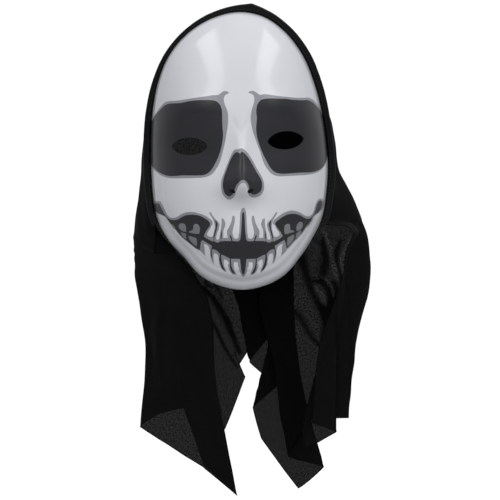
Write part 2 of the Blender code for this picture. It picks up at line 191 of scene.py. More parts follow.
def makeWeave():
    tree, given, out = newGroup(
        "sheerWeave",
        [("Vector", "NodeSocketVector", None), ("Threads Per Metre", "NodeSocketFloat", 900.0),
         ("Slub", "NodeSocketFloat", 0.5)],
        [("Gaps", "NodeSocketFloat"), ("Height", "NodeSocketFloat")],
    )
    place, perMetre = given.outputs["Vector"], given.outputs["Threads Per Metre"]
    runs = []
    for scale in ((1.0, weaving["stretch"], 1.0), (weaving["stretch"], 1.0, 1.0)):
        laid = addNode(tree, "ShaderNodeVectorMath", {"operation": "MULTIPLY"}, i0=place, i1=scale)
        threads = addNode(tree, "ShaderNodeTexNoise", None, Vector=laid.outputs[0], Scale=perMetre,
                          Detail=1.0)
        runs.append(threads.outputs["Fac"])
    cloudy = addNode(tree, "ShaderNodeTexNoise", None, Vector=place, Detail=2.0,
                     Scale=calc(tree, "MULTIPLY", perMetre, weaving["cloudScale"]))
    crossed = calc(tree, "MULTIPLY", calc(tree, "ADD", *runs), 0.5)
    cloud = calc(tree, "SUBTRACT", cloudy.outputs["Fac"], 0.5)
    mixed = calc(tree, "ADD", crossed, calc(tree, "MULTIPLY", cloud, given.outputs["Slub"]))
    gaps = addNode(tree, "ShaderNodeMapRange", {"interpolation_type": "SMOOTHSTEP"}, Value=mixed,
                   From_Min=weaving["gapsFrom"], From_Max=weaving["gapsTo"])
    tree.links.new(gaps.outputs[0], out.inputs["Gaps"])
    tree.links.new(crossed, out.inputs["Height"])
    return tree


handlingMarks, sheerWeave = makeHandling(), makeWeave()


def newMaterial(name):
    material = bpy.data.materials.new(name)
    material.use_nodes = True
    return material, material.node_tree, material.node_tree.nodes["Principled BSDF"]


def markedMaterial(name, finish, clothMap=None):  # a finish with the marks of handling
    material, tree, shader = newMaterial(name)
    if clothMap:
        place = addNode(tree, "ShaderNodeUVMap", {"uv_map": clothMap}).outputs[0]
    else:
        place = tree.nodes.new("ShaderNodeTexCoord").outputs["Object"]
    marks = addNode(tree, "ShaderNodeGroup", {"node_tree": handlingMarks}, Vector=place,
                    Colour=finish["colour"], Roughness=finish["roughness"], Patch_Scale=finish["patchScale"],
                    Colour_Change=finish["colourChange"], Roughness_Change=finish["roughnessChange"])
    tree.links.new(marks.outputs["Colour"], shader.inputs["Base Color"])
    tree.links.new(marks.outputs["Roughness"], shader.inputs["Roughness"])
    shader.inputs["Specular IOR Level"].default_value = finish["gloss"]
    return material, tree, shader, marks, place


def addBump(tree, shader, height, strength, distance):
    bump = addNode(tree, "ShaderNodeBump", None, Height=height, Strength=strength, Distance=distance)
    tree.links.new(bump.outputs[0], shader.inputs["Normal"])


def addWeave(tree, shader, place, cloth):
    weave = addNode(tree, "ShaderNodeGroup", {"node_tree": sheerWeave}, Vector=place,
                    Threads_Per_Metre=cloth["threads"], Slub=cloth["slub"])
    addBump(tree, shader, weave.outputs["Height"], cloth["weaveStrength"], cloth["weaveDepth"])
    return weave.outputs["Gaps"]


# the face

face = {
    "wall": 1.1,
    "rimSteps": 620,
    "centreZ": -150.0,
    "frontY": -131.0,
    "domeSquareness": 2.7,
    "rimTopY": -68.0, "rimEarY": -52.0, "rimChinY": -98.0,
    "rimTopBend": 2.0, "rimChinBend": 1.8,
    "plainRim": 0.12,  # share of the way in over which the relief comes up
    "noseX": 1.0,
    "jawCreases": ((0.93, 0.022, 1.3), (0.865, 0.016, 0.5)),  # share of the way out, width, depth
    "jawSweep": 1.6,  # how far up the cheeks the creases reach
    "browCrease": (0.0, -113.0, 9.0, 0.45),  # x, z, reach, depth, over the nose
    "browFork": 0.55, "browWidth": 2.2,
    "holePointedness": 0.25, "holeRaggedness": 0.22, "ragSize": 0.9, "ragSeed": 3.0,
    "wallShadeWithin": 0.98,  # share of the way out within which the holes' walls take the dark ink, a painted shade for the dark inside of the holes
}
faceMesh = {
    "step": 1.45,  # between the points, near the edge
    "printStep": 1.0, "grinStep": 0.7,  # along the print's outlines
    "edgeClearance": 0.6,  # of a step, from the rim to the next points
    "cutTolerance": 1e-5,
    "probe": 0.25, "probeWithin": 0.993,  # for the surface's direction
}
faceOutline = (  # z, x of the left edge, x of the right edge
    (-5.0, 0.0, 0.0), (-10.5, -26.6, 23.8), (-21.9, -46.6, 39.9), (-44.7, -67.5, 58.0), (-70.0, -78.4, 68.9),
    (-96.0, -83.6, 76.0), (-125.0, -85.4, 80.6), (-153.0, -85.4, 82.6), (-178.0, -83.8, 80.8),
    (-200.0, -79.9, 77.0), (-221.4, -69.0, 66.8), (-238.5, -53.4, 55.4), (-255.6, -37.6, 39.9),
    (-265.0, -19.0, 21.4), (-268.5, 1.0, 1.0),
)
relief = (  # x, z, half width, reach up, reach down, rise
    (-36.0, -98.0, 26.0, 14.0, 12.0, 2.5), (38.0, -96.0, 26.0, 14.0, 12.0, 2.5),
    (-48.0, -131.0, 26.0, 20.0, 24.0, -4.5), (44.0, -127.0, 26.0, 20.0, 24.0, -4.5),
    (1.5, -218.0, 38.0, 22.0, 22.0, 5.0), (1.5, -250.0, 24.0, 9.0, 10.0, 3.0),
)
noseLine = (  # z, rise, half width
    (-100.0, 0.0, 6.0), (-118.0, 2.5, 7.5), (-135.0, 7.0, 9.0), (-150.0, 12.0, 11.5), (-160.0, 16.0, 14.0),
    (-168.0, 17.5, 16.0), (-176.0, 13.0, 17.0), (-184.0, 5.0, 16.0), (-192.0, 1.0, 14.0), (-200.0, 0.0, 12.0),
)
holes = (  # x, z, half length, half height, lift of the outer end in degrees, points round it
    (-48.5, -133.0, 16.7, 8.3, 0.0, 96), (42.3, -127.3, 17.1, 8.6, 5.0, 96),
    (-8.4, -175.6, 3.3, 1.9, 22.0, 24), (9.1, -175.3, 3.3, 2.0, 25.0, 24),
)
grinAxis = 2.2  # x of the line that the teeth mirror about
inkLevels = {"bare": 0.0, "pale": 0.33, "grey": 0.66, "dark": 1.0}
wholePrint = (  # outlines of the print, x and z, each over the ones before it
    ("leftEyeEdge", "grey", (
        (-88.3, -108.3), (-84.5, -108.3), (-83.1, -105), (-79.8, -99.8), (-76, -95), (-71.2, -90.7),
        (-67.5, -90.1), (-61.8, -89.8), (-54.1, -88.9), (-46.5, -87.7), (-38.9, -86.6), (-32.3, -85.8),
        (-26.6, -84.9), (-22.8, -84.7), (-20.4, -84.1), (-18.5, -82.4), (-16.1, -81.2), (-13.8, -81),
        (-12.1, -81.7), (-11.5, -82.8), (-12.3, -83.6), (-13.7, -83.9), (-15.2, -85.3), (-16, -87.4),
        (-16, -90.2), (-15, -94), (-13.5, -97.7), (-12.3, -101.6), (-12, -105.9), (-12.1, -110.2),
        (-12.7, -115.9), (-13.7, -121.6), (-14.7, -128.2), (-16.3, -134.9), (-18.2, -142.5),
        (-20.4, -149.2), (-23.3, -154.4), (-26.6, -158.7), (-30.9, -161.3), (-36.1, -162.6), (-43.7, -163),
        (-55.1, -163.2), (-63.6, -163.2), (-69.3, -162.6), (-75, -160.5), (-79.8, -157.2), (-83.1, -154.4),
        (-85.5, -151), (-89.3, -151))),
    ("leftEyeDark", "dark", (
        (-88.3, -109.2), (-85, -109.2), (-82.6, -104.5), (-79.3, -100.7), (-76, -97.4), (-72.7, -94.5),
        (-69.3, -92.8), (-64.6, -92.3), (-58.9, -92.2), (-54.1, -91.5), (-49.4, -90.5), (-43.7, -89.8),
        (-36.1, -89.4), (-28.5, -89.5), (-24.2, -90.2), (-21.4, -92), (-19.2, -94.8), (-18.1, -98.3),
        (-17.7, -103.5), (-17.6, -110.2), (-17.2, -116.8), (-16.8, -122.5), (-17.3, -127.8), (-18.2, -133),
        (-19.8, -138.7), (-21.8, -144.4), (-24.7, -150.1), (-27.5, -154.8), (-30.9, -158.3),
        (-35.1, -160.1), (-40.9, -160.5), (-48.4, -160.5), (-56, -160.5), (-62.7, -161), (-68.9, -160.7),
        (-73.6, -159.3), (-77.9, -157), (-81.2, -154.4), (-84.1, -151.5), (-85.5, -149.2), (-89.3, -149.2))),
    ("rightEyeEdge", "grey", (
        (7, -82.1), (7.9, -81.4), (9.5, -80.9), (11.9, -80.9), (14.2, -82.1), (16.6, -83.8), (18.5, -84.5),
        (21.4, -83.9), (25.6, -84.2), (32.3, -85.1), (39.9, -86), (46.5, -86.6), (53.2, -87.1),
        (58.9, -86.9), (63.6, -86.6), (67, -87.7), (70.8, -90.7), (74.1, -95), (76.3, -98.8),
        (78.4, -103.5), (82.6, -109.2), (88.3, -118.8), (88.3, -137.8), (82.6, -143.9), (80.3, -148.7),
        (77.9, -152.9), (74.1, -156.3), (68.4, -158.7), (61.8, -159.9), (53.2, -160.5), (43.7, -161.1),
        (37, -161.4), (31.8, -160.5), (28, -158.2), (24.7, -154.4), (22.1, -150.1), (19.9, -144.4),
        (18.1, -138.2), (15.7, -132), (13.3, -125.4), (11.4, -119.7), (10, -114), (9.2, -108.3),
        (9.5, -102.6), (10.4, -97.8), (11.9, -93.1), (12.6, -89.8), (12.3, -86.5), (11.2, -84.3),
        (9.5, -83.4), (8.1, -83.2))),
    ("rightEyeDark", "dark", (
        (14.5, -98.8), (15.2, -94.5), (16.6, -91.7), (19, -89.3), (22.3, -88.3), (27.5, -87.9),
        (35.1, -88), (42.8, -88.3), (50.3, -89.1), (57.9, -89.3), (64.1, -89.3), (67.5, -90.8),
        (71.2, -94), (74.6, -97.8), (76.8, -102.1), (81.7, -109.2), (87.4, -119.7), (87.4, -136.8),
        (81.7, -142.5), (80.3, -148.2), (77, -152.9), (72.2, -155.8), (66.5, -157.3), (58.9, -157.7),
        (51.3, -158.1), (43.7, -158.8), (38, -158.9), (33.2, -157.9), (29.4, -155.3), (26.6, -151.5),
        (24.2, -147.2), (21.8, -142.5), (19.5, -137.3), (17.6, -132.5), (16, -127.3), (14.8, -121.6),
        (14.4, -115.9), (14.8, -110.2), (15, -105.4), (14.5, -101.6))),
    ("noseEdge", "grey", (
        (-6.2, -136.6), (-3, -135.8), (-0.7, -135.3), (1.4, -135.2), (3.8, -136.8), (6.2, -139.2),
        (9, -143.4), (11.7, -147.7), (14.2, -152.5), (16.9, -157.2), (19.5, -161.5), (21.2, -165.8),
        (21.8, -170), (21.5, -174.3), (19.9, -177.7), (17.1, -180.3), (13.8, -181.4), (10.7, -181.4),
        (8.4, -180.5), (7, -178.1), (6.9, -175.8), (6.4, -172.9), (5.2, -170), (3.8, -168.2),
        (1.9, -167.6), (-0.3, -168.7), (-2.1, -170.8), (-3.5, -173.4), (-4.5, -176), (-5.4, -178.9),
        (-7.3, -181.6), (-10, -183.3), (-12.3, -183.3), (-14.9, -181.4), (-17.3, -178.1), (-18.5, -173.8),
        (-18.7, -168.6), (-18.1, -163.9), (-16.1, -158.7), (-14.2, -153.4), (-12.3, -148.7),
        (-10.4, -143.9), (-8.7, -140.1))),
    ("noseDark", "dark", (
        (-5.7, -139.5), (-4.5, -138.7), (-3, -138.7), (-1.9, -139.4), (-0.8, -140.2), (-0.1, -139.1),
        (1.1, -138), (3.3, -139.7), (5.7, -142.3), (8.2, -145.8), (10.4, -149.6), (12.8, -153.9),
        (15.2, -158.2), (17.6, -162), (19.3, -165.3), (19.9, -169.1), (19.7, -172.4), (18.3, -175.8),
        (15.7, -177.7), (12.3, -178.8), (10, -178.2), (8.7, -176.7), (8.2, -174.3), (7.6, -171.5),
        (6.5, -168.4), (4.8, -166.1), (2.6, -164.9), (0, -165.5), (-1.7, -167), (-3.8, -169.3),
        (-5, -171.5), (-5.7, -173.7), (-5.9, -175.8), (-7.3, -177.7), (-9, -179.5), (-10.9, -180.5),
        (-13.3, -179.5), (-15.4, -177.2), (-16.6, -173.8), (-17.1, -170), (-16.7, -165.8), (-15.9, -162),
        (-14.4, -157.7), (-13, -153.9), (-11.4, -149.6), (-9.5, -145.3), (-7.6, -141.8))),
    ("leftGrinEdge", "grey", (
        (-87.4, -184.8), (-80.8, -184.3), (-76.5, -184.6), (-74.1, -189), (-71.2, -194.8), (-68.9, -198.5),
        (-66.5, -200.3), (-62.7, -200.3), (-59.8, -199.3), (-57, -197.4), (-53.2, -195.7), (-49.4, -195),
        (-45.6, -195), (-40.9, -196), (-36.1, -197.4), (-32.3, -199.3), (-29, -201.7), (-26.8, -204.2),
        (-26.8, -207.1), (-28.5, -209.9), (-30.6, -212.8), (-32.1, -215.6), (-33.2, -220.4),
        (-36.6, -222.8), (-38.1, -228), (-38.3, -231.6), (-42.3, -229.8), (-46.5, -226.7), (-51.3, -222.9),
        (-55.1, -219.7), (-57.9, -216.9), (-60.8, -213.4), (-63.2, -210.2), (-66.5, -206.9),
        (-69.3, -202.8), (-72.2, -199.3), (-75, -198), (-78.4, -196.5), (-80.8, -195.5), (-87.4, -196.2))),
    ("rightGrinEdge", "grey", (
        (74.1, -182.3), (77, -182.4), (79.1, -184.3), (79.1, -187.6), (77.5, -191.2), (75.8, -193.8),
        (73.1, -196.2), (70.3, -198.2), (68.4, -200.4), (67.2, -203.7), (65.3, -206.1), (61.9, -209.9),
        (59.1, -214.2), (56.2, -217.5), (52.9, -220.9), (49.6, -224.2), (45.6, -228.6), (41.6, -231.6),
        (39.7, -228.9), (39.3, -224.2), (38.2, -221.3), (35.6, -217.5), (34.7, -214.7), (32.8, -211.4),
        (30.9, -208.3), (30.2, -205.5), (31.2, -202.9), (34.7, -199.7), (38.9, -196.6), (43.7, -194.4),
        (48, -193.5), (52.2, -194.1), (56, -195.5), (58.9, -197.4), (61.8, -198.8), (64.6, -198.7),
        (67, -197.1), (68.9, -193.8), (70.3, -189), (72, -184.8))),
    ("leftGrinDark", "dark", (
        (-87.4, -187.1), (-82.2, -187.1), (-80.3, -186.4), (-78.2, -186.6), (-76.5, -189), (-74.6, -192.8),
        (-72.2, -197.1), (-69.3, -200.4), (-67, -202), (-64.6, -202.6), (-61.8, -202.5), (-58.9, -201.6),
        (-56, -200), (-53.2, -198.5), (-49.4, -197.7), (-45.6, -197.5), (-41.3, -198), (-37.5, -199.1),
        (-34.2, -201), (-30.9, -203.3), (-29.2, -205.4), (-29.2, -207.6), (-30.9, -210.2), (-33, -213.3),
        (-34.4, -216.6), (-34.8, -220.4), (-37.4, -222.3), (-38.2, -226.1), (-38.5, -231), (-42.3, -229.2),
        (-46.5, -225.9), (-51.3, -222.1), (-55.1, -219), (-57.9, -216.1), (-60.8, -212.6), (-63.2, -209.5),
        (-66.5, -205.9), (-68.9, -202.5), (-71.7, -199), (-75, -197.4), (-78.4, -195.9), (-80.3, -194.6),
        (-87.4, -195.2))),
    ("rightGrinDark", "dark", (
        (75.8, -183.8), (77, -185.1), (77.4, -187.1), (76.8, -190), (75.3, -192.8), (72.7, -195.5),
        (69.8, -197.4), (67.7, -199.5), (66.5, -202.8), (64.6, -205.2), (61.3, -209), (58.4, -213.3),
        (55.6, -216.6), (52.2, -219.9), (48.9, -223.2), (45.1, -227.5), (41.3, -230.8), (40.4, -228),
        (40.1, -224.2), (38.9, -220.9), (38, -218.5), (37.5, -216.1), (36.1, -212.3), (33.5, -208.8),
        (32.3, -206.1), (33.1, -204.5), (36.1, -201.9), (39.9, -199.3), (43.7, -197.4), (48, -196.6),
        (52.2, -196.9), (56, -198.1), (59.4, -200.1), (61.8, -201.2), (64.1, -201.3), (66, -200.4),
        (67.5, -198.8), (69.3, -196.6), (70.5, -193.3), (71.7, -189), (73.3, -185.2), (74.6, -183.9))),
    ("leftMolar1", "pale", (
        (-58.9, -209), (-58.6, -207.1), (-57.3, -205.8), (-55.1, -205.7), (-53.2, -206.4), (-52.1, -208.2),
        (-51.8, -211.4), (-51.6, -213.6), (-53.7, -213.5), (-56, -212.4), (-57.9, -211.1))),
    ("leftMolar2", "pale", (
        (-45, -208.5), (-44.4, -206.9), (-42.3, -206.1), (-40.2, -207), (-39.1, -209), (-39, -213.8),
        (-39.6, -215.6), (-41.8, -215.6), (-45.6, -215.1), (-49.1, -214.3), (-49.1, -213.4),
        (-47.5, -212.8), (-45.6, -211.8), (-45, -210.4))),
    ("leftMolar3", "pale", (
        (-57, -213.8), (-54.6, -214.6), (-51.6, -215.5), (-52, -217.5), (-51.5, -221), (-53.9, -219),
        (-55.9, -216.9))),
    ("leftMolar4", "pale", (
        (-49.8, -218.1), (-48.4, -217.7), (-45.1, -218.7), (-42.3, -219.8), (-41.7, -221.3),
        (-41.8, -227.3), (-44.2, -225.9), (-47, -223.1), (-48.9, -220.7))),
    ("leftMolar5", "pale", (
        (-66.5, -205.9), (-64.3, -207.1), (-62.3, -210.3), (-62.7, -211.5), (-64.8, -209.3))),
    ("rightMolar1", "pale", (
        (41, -208.5), (42.3, -206.8), (44.5, -206.1), (46.2, -206.8), (46.5, -209.5), (46.5, -211.7),
        (48.3, -212.3), (50.3, -212.8), (50.1, -213.9), (47, -214.5), (43.2, -215.8), (41.3, -215.6),
        (40.9, -213.3), (40.9, -209.9))),
    ("rightMolar2", "pale", (
        (52.4, -211.4), (52.5, -208.5), (53.7, -206), (55.9, -204.2), (57.7, -204.5), (58.5, -206.4),
        (58.2, -209), (56.5, -211.2), (54.1, -212.6), (52.5, -212.8))),
    ("rightMolar3", "pale", (
        (52.5, -215.2), (54.6, -213.4), (56.8, -212), (56.8, -214.5), (54.7, -217.5), (52.7, -220.7),
        (51.9, -220.6), (51.8, -218))),
    ("rightMolar4", "pale", (
        (44, -219.7), (46.5, -217.8), (49.9, -216.2), (50.3, -217.8), (49.4, -221.3), (47, -224.2),
        (44.5, -227.3), (43.7, -226.1), (43.7, -222.3))),
    ("rightMolar5", "pale", (
        (65.3, -205.2), (62.9, -206.8), (61, -209.5), (61, -210.5), (63.2, -208.7), (65.3, -206.1))),
)
halfPrint = (  # the left half of the grin, drawn again as its mirror image
    ("upperSpikeEdge", "grey", (
        (2.2, -191.1), (1.1, -191.5), (0, -193.8), (-0.8, -198.5), (-1.1, -204.2), (-1.4, -209.9),
        (-1.7, -215.6), (-2.3, -220.4), (-3.3, -223.2), (2.2, -223.2))),
    ("lowerSpikeEdge", "grey", (
        (2.2, -238.4), (-2.6, -238.4), (-2, -242.2), (-1.9, -247), (-1.3, -250.8), (0, -253.9),
        (1.3, -255.8), (2.2, -256.4))),
    ("mouthDark", "dark", (
        (2.2, -240.3), (-0.9, -240), (-4.8, -240), (-10.4, -239.6), (-14.2, -238.1), (-18.1, -236.2),
        (-19.7, -234.6), (-23.3, -231.8), (-26.6, -230.8), (-28.5, -231), (-29, -228.5), (-33.2, -225.1),
        (-36.8, -223.2), (-38, -220.4), (-34.8, -218), (-33.2, -219.4), (-30.4, -220.8), (-26.6, -221.9),
        (-24.7, -221.7), (-18.1, -221.7), (-8.5, -221.7), (2.2, -221.7))),
    ("upperSpikeDark", "dark", (
        (2.2, -195.2), (1.3, -195.7), (0.9, -200.4), (0.6, -206.1), (0.3, -211.8), (-0.2, -217.5),
        (-0.8, -220.9), (-1.9, -223.2), (2.2, -223.2))),
    ("lowerSpikeDark", "dark", (
        (2.2, -238.4), (-1, -238.4), (-0.5, -242.7), (0, -247.5), (0.7, -251.3), (1.6, -253.8),
        (2.2, -254.2))),
    ("rootStrokeOuter", "grey", (
        (-30, -195), (-28.9, -195.3), (-26.6, -198.5), (-23.8, -202), (-21.6, -204.2), (-20.2, -206.4),
        (-20.7, -209.9), (-21.7, -213.8), (-23, -218), (-23.8, -222.8), (-27.4, -222.8), (-26.7, -218.5),
        (-25.6, -214.2), (-24.8, -210.4), (-24.9, -207.1), (-25.7, -203.8), (-27.5, -200), (-29.4, -197.1))),
    ("rootGapOuter", "dark", (
        (-24.3, -202.6), (-23.2, -203.7), (-22, -206.1), (-22.5, -209.9), (-23.6, -214.2), (-24.8, -218.5),
        (-25.6, -222.8), (-27, -222.8), (-26, -218.5), (-24.9, -214.2), (-23.9, -209.9), (-23.8, -206.6),
        (-24.1, -204.2))),
    ("rootStrokeMiddle", "grey", (
        (-18, -200.7), (-16.7, -201.3), (-15.2, -203.8), (-14.6, -206.1), (-15.2, -209), (-16.3, -211.8),
        (-16.7, -215.2), (-16.9, -218.5), (-17.3, -222.8), (-20.1, -222.8), (-19.6, -218.5),
        (-19.4, -214.7), (-19, -211.4), (-18.5, -208.5), (-18.2, -205.2), (-18.2, -202.3))),
    ("rootGapMiddle", "dark", (
        (-18.4, -211.4), (-18.1, -214.2), (-18.1, -217.5), (-18.4, -220.4), (-18.6, -223.2),
        (-19.8, -223.2), (-19.3, -219.4), (-19, -215.6))),
    ("rootStrokeInner", "grey", (
        (-7.4, -198.5), (-6.2, -198.6), (-5.7, -200.9), (-5.8, -203.8), (-6.7, -208), (-7.6, -211.8),
        (-8, -215.2), (-7.7, -218.5), (-6.8, -221), (-9, -222.8), (-11.8, -221.3), (-12.7, -218.5),
        (-13.3, -215.2), (-13, -212.6), (-11.4, -209.5), (-9.7, -205.7), (-8.5, -201.9), (-8.2, -199.5))),
    ("rootGapInner", "dark", (
        (-10.3, -216.1), (-9.1, -218), (-8, -220.9), (-7.3, -222.8), (-9.7, -222.8), (-10.3, -219.9))),
    ("outerToothRim", "grey", (
        (-32.8, -213.3), (-35.1, -217.8), (-32, -220), (-28.7, -221.9), (-26.2, -222.9), (-25.5, -219.9),
        (-27, -218.1), (-29.4, -218.1), (-31.8, -216.4), (-30.8, -213.9))),
    ("outerTooth", "bare", (
        (-27.1, -207.1), (-25.7, -206.1), (-25.4, -208.5), (-25.9, -211.8), (-26.8, -215.2),
        (-27.6, -218.4), (-29.6, -218.3), (-32.3, -216.1), (-31.1, -213.8), (-29.2, -211.1))),
    ("secondToothRim", "grey", (
        (-23.5, -214.7), (-19.5, -214.7), (-19.4, -218.5), (-18.8, -221.6), (-20.1, -223.2),
        (-21.9, -223.9), (-23.8, -223.3), (-25.1, -221.6), (-24.3, -218.5))),
    ("secondTooth", "bare", (
        (-21.7, -212.8), (-19.6, -212.8), (-19.8, -216.1), (-20.4, -219.4), (-21.3, -221), (-22.6, -221.2),
        (-23.4, -220), (-22.9, -216.6))),
    ("thirdToothRim", "grey", (
        (-17.5, -215.6), (-12.3, -215.6), (-10.1, -219.4), (-9, -222.2), (-13.3, -222.3), (-17.9, -222.1))),
    ("thirdTooth", "bare", (
        (-16, -210.4), (-13.3, -209.9), (-13.3, -213.8), (-12.7, -217.4), (-12.4, -219.4), (-14.7, -219.4),
        (-16.7, -219.4), (-16.5, -214.7))),
    ("centreToothRim", "grey", (
        (-8, -215.6), (-1.3, -215.6), (-1.3, -219.9), (-1.7, -222.5), (-5.7, -222.6), (-8.2, -222.1))),
    ("centreTooth", "bare", (
        (-7.2, -213.3), (-1.9, -213.3), (-2.1, -217.1), (-2.6, -219.4), (-4.2, -220.2), (-6.1, -220),
        (-7.2, -218.3), (-7.6, -215.6))),
    ("lowerCentreRim", "grey", (
        (-9.9, -239.2), (-4.8, -239.2), (-0.8, -239.5), (-0.8, -243.2), (-1, -247), (-2.8, -247),
        (-3, -242.6), (-6.5, -242.4), (-6.7, -246), (-5.9, -250.3), (-3.8, -254.2), (-7.1, -254),
        (-9.5, -252.3), (-11.6, -249.3), (-12.1, -245.1), (-10.5, -241.7))),
    ("lowerCentreGap", "dark", (
        (-10.8, -239.3), (-9.5, -239.7), (-9.3, -243.2), (-8.6, -247), (-7.3, -250.3), (-5.4, -253.3),
        (-7.3, -253), (-9.1, -250.8), (-10.2, -247), (-10.5, -242.7))),
    ("lowerCentreTooth", "bare", (
        (-6.4, -242.5), (-3.1, -242.5), (-2.8, -246), (-2.7, -250.3), (-3.2, -253.6), (-4.8, -251.8),
        (-6, -248.9), (-6.6, -245.6))),
    ("lowerSecondRim", "grey", (
        (-18, -235.4), (-14.4, -236.9), (-10.6, -238.8), (-10.7, -242.7), (-11.4, -242.7), (-12.9, -240.9),
        (-15.8, -239.6), (-16.2, -242.7), (-15.7, -246.5), (-14, -250.8), (-14.3, -252.1), (-17.3, -249.8),
        (-19.7, -246), (-21.3, -241.7), (-20.7, -238), (-19.6, -235.6))),
    ("lowerSecondGap", "dark", (
        (-20.5, -234.3), (-18.7, -235.1), (-18.5, -238.9), (-17.9, -242.7), (-16.6, -246.5),
        (-14.8, -250.6), (-17.1, -249.2), (-19.2, -245.1), (-20.2, -240.8), (-20.8, -237))),
    ("lowerSecondTooth", "bare", (
        (-15.8, -239.7), (-12.7, -241.1), (-12.3, -244.6), (-11.4, -248.4), (-10, -251.8), (-12.8, -251.3),
        (-15.2, -247), (-16.1, -243.2))),
    ("lowerThirdRim", "grey", (
        (-26.6, -230.1), (-23.2, -231.2), (-19.8, -234.4), (-20.3, -239), (-21, -239), (-22.1, -235.4),
        (-25.2, -233.7), (-26, -236.5), (-25.7, -240.3), (-25.4, -244.3), (-27.2, -241.9), (-28.6, -237.9),
        (-29.2, -233.7), (-28.6, -230.4))),
    ("lowerThirdGap", "dark", (
        (-28.9, -228.9), (-27.2, -230.1), (-27.5, -233.2), (-27.3, -236.5), (-26.6, -240), (-27.8, -237.7),
        (-28.5, -234.2))),
    ("lowerThirdTooth", "bare", (
        (-25.2, -233.7), (-22.2, -235.4), (-21.4, -239), (-20.4, -243.2), (-23.3, -244.1), (-25, -242.7),
        (-25.7, -238.4), (-25.8, -236.1))),
    ("lowerOuterRim", "grey", (
        (-36.7, -221.3), (-32.5, -223.8), (-27.5, -227), (-28.2, -231.3), (-29.4, -231.3), (-30.6, -228),
        (-33.1, -225.5), (-35, -225.3), (-34.3, -229.4), (-34, -232.8), (-33.1, -237.1), (-36.1, -234),
        (-38.4, -231.6), (-38.1, -226.1))),
    ("lowerOuterTooth", "bare", (
        (-34.9, -225.1), (-32.9, -225.6), (-30.4, -228), (-29.5, -231.3), (-29.4, -235.6), (-31.3, -238.4),
        (-33, -237.3), (-34, -233.2), (-34.3, -229.4))),
)


def outlineRadius(angle):
    points = [(x, z - face["centreZ"]) for z, left, right in faceOutline for x in sorted({left, right})]
    polar = sorted((math.atan2(z, x), math.hypot(z, x)) for x, z in points)
    full = 2 * math.pi
    looped = [(a - full, r) for a, r in polar[-3:]] + polar + [(a + full, r) for a, r in polar[:3]]
    angles, radii = zip(*looped)
    return curveThrough(angles, radii, np.arctan2(np.sin(angle), np.cos(angle)))


def rimY(z):
    ear, top, chin = face["rimEarY"], face["rimTopY"], face["rimChinY"]
    up = np.clip((z - face["centreZ"]) / (faceOutline[0][0] - face["centreZ"]), 0, 1)
    down = np.clip((face["centreZ"] - z) / (face["centreZ"] - faceOutline[-1][0]), 0, 1)
    return ear + (top - ear) * up ** face["rimTopBend"] + (chin - ear) * down ** face["rimChinBend"]


def faceSurface(share, angle):
    radius = outlineRadius(angle)
    x, z = share * radius * np.cos(angle), face["centreZ"] + share * radius * np.sin(angle)
    edgeY = rimY(face["centreZ"] + radius * np.sin(angle))
    height = np.clip(1 - share ** face["domeSquareness"], 0, 1) ** 0.5
    y = edgeY + (face["frontY"] - edgeY) * height
    inside = np.clip((1 - share) / face["plainRim"], 0, 1)
    for atX, atZ, wide, up, down, rise in relief:
        tall = np.where(z > atZ, up, down)
        y = y - inside * rise * np.exp(-(((x - atX) / wide) ** 2) - ((z - atZ) / tall) ** 2)
    shape = tableAt(noseLine, z)
    y = y - shape[..., 0] * np.exp(-(((x - face["noseX"]) / shape[..., 1]) ** 2))
    low = np.clip(-np.sin(angle) * face["jawSweep"], 0, 1)
    for at, wide, deep in face["jawCreases"]:
        y = y + low * deep * np.exp(-(((share - at) / wide) ** 2))
    atX, atZ, reach, deep = face["browCrease"]
    for side in (-1, 1):  # a shallow fork over the nose
        across = (x - atX) - side * face["browFork"] * np.clip(z - atZ + reach, 0, 2 * reach)
        y = y + deep * np.exp(-((across / face["browWidth"]) ** 2) - ((z - atZ) / reach) ** 2)
    return np.stack([x, y, z], axis=-1)


def spread(points):  # from the front view to the flattened face, where the steep sides have room
    x, z = points[..., 0], points[..., 1] - face["centreZ"]
    angle = np.arctan2(z, x)
    radius = outlineRadius(angle)
    share = np.hypot(x, z) / radius
    out = np.arcsin(np.clip(share, 0, 1)) * 2 / math.pi + np.clip(share - 1, 0, None)
    return np.stack([out * radius * np.cos(angle), out * radius * np.sin(angle)], axis=-1)


def gather(points):  # from the flattened face to the surface in space
    angle = np.arctan2(points[..., 1], points[..., 0])
    out = np.hypot(points[..., 0], points[..., 1]) / outlineRadius(angle)
    return faceSurface(np.sin(np.minimum(out, 1.0) * math.pi / 2), angle)


def smoothLoop(points, spacing, sharpTurn=52.0):  # turns sharper than this stay corners
    points = np.asarray(points, float)
    into, onward = points - np.roll(points, 1, 0), np.roll(points, -1, 0) - points
    intoLength, onwardLength = np.hypot(*into.T), np.hypot(*onward.T)
    intoWay, onwardWay = into / intoLength[:, None], onward / onwardLength[:, None]
    sharp = (intoWay * onwardWay).sum(1) < math.cos(math.radians(sharpTurn))
    through = intoWay / intoLength[:, None] + onwardWay / onwardLength[:, None]
    through = through / np.maximum(np.hypot(*through.T), 1e-9)[:, None]
    loop = []
    for i, length in enumerate(onwardLength):
        j = (i + 1) % len(points)
        leaving = onwardWay[i] if sharp[i] else through[i]
        arriving = intoWay[j] if sharp[j] else through[j]
        count = max(1, int(round(length / spacing)))
        t = (np.arange(count) / count)[:, None]
        loop.append(blend(t, points[i], points[j], leaving * length, arriving * length))
    return np.concatenate(loop)


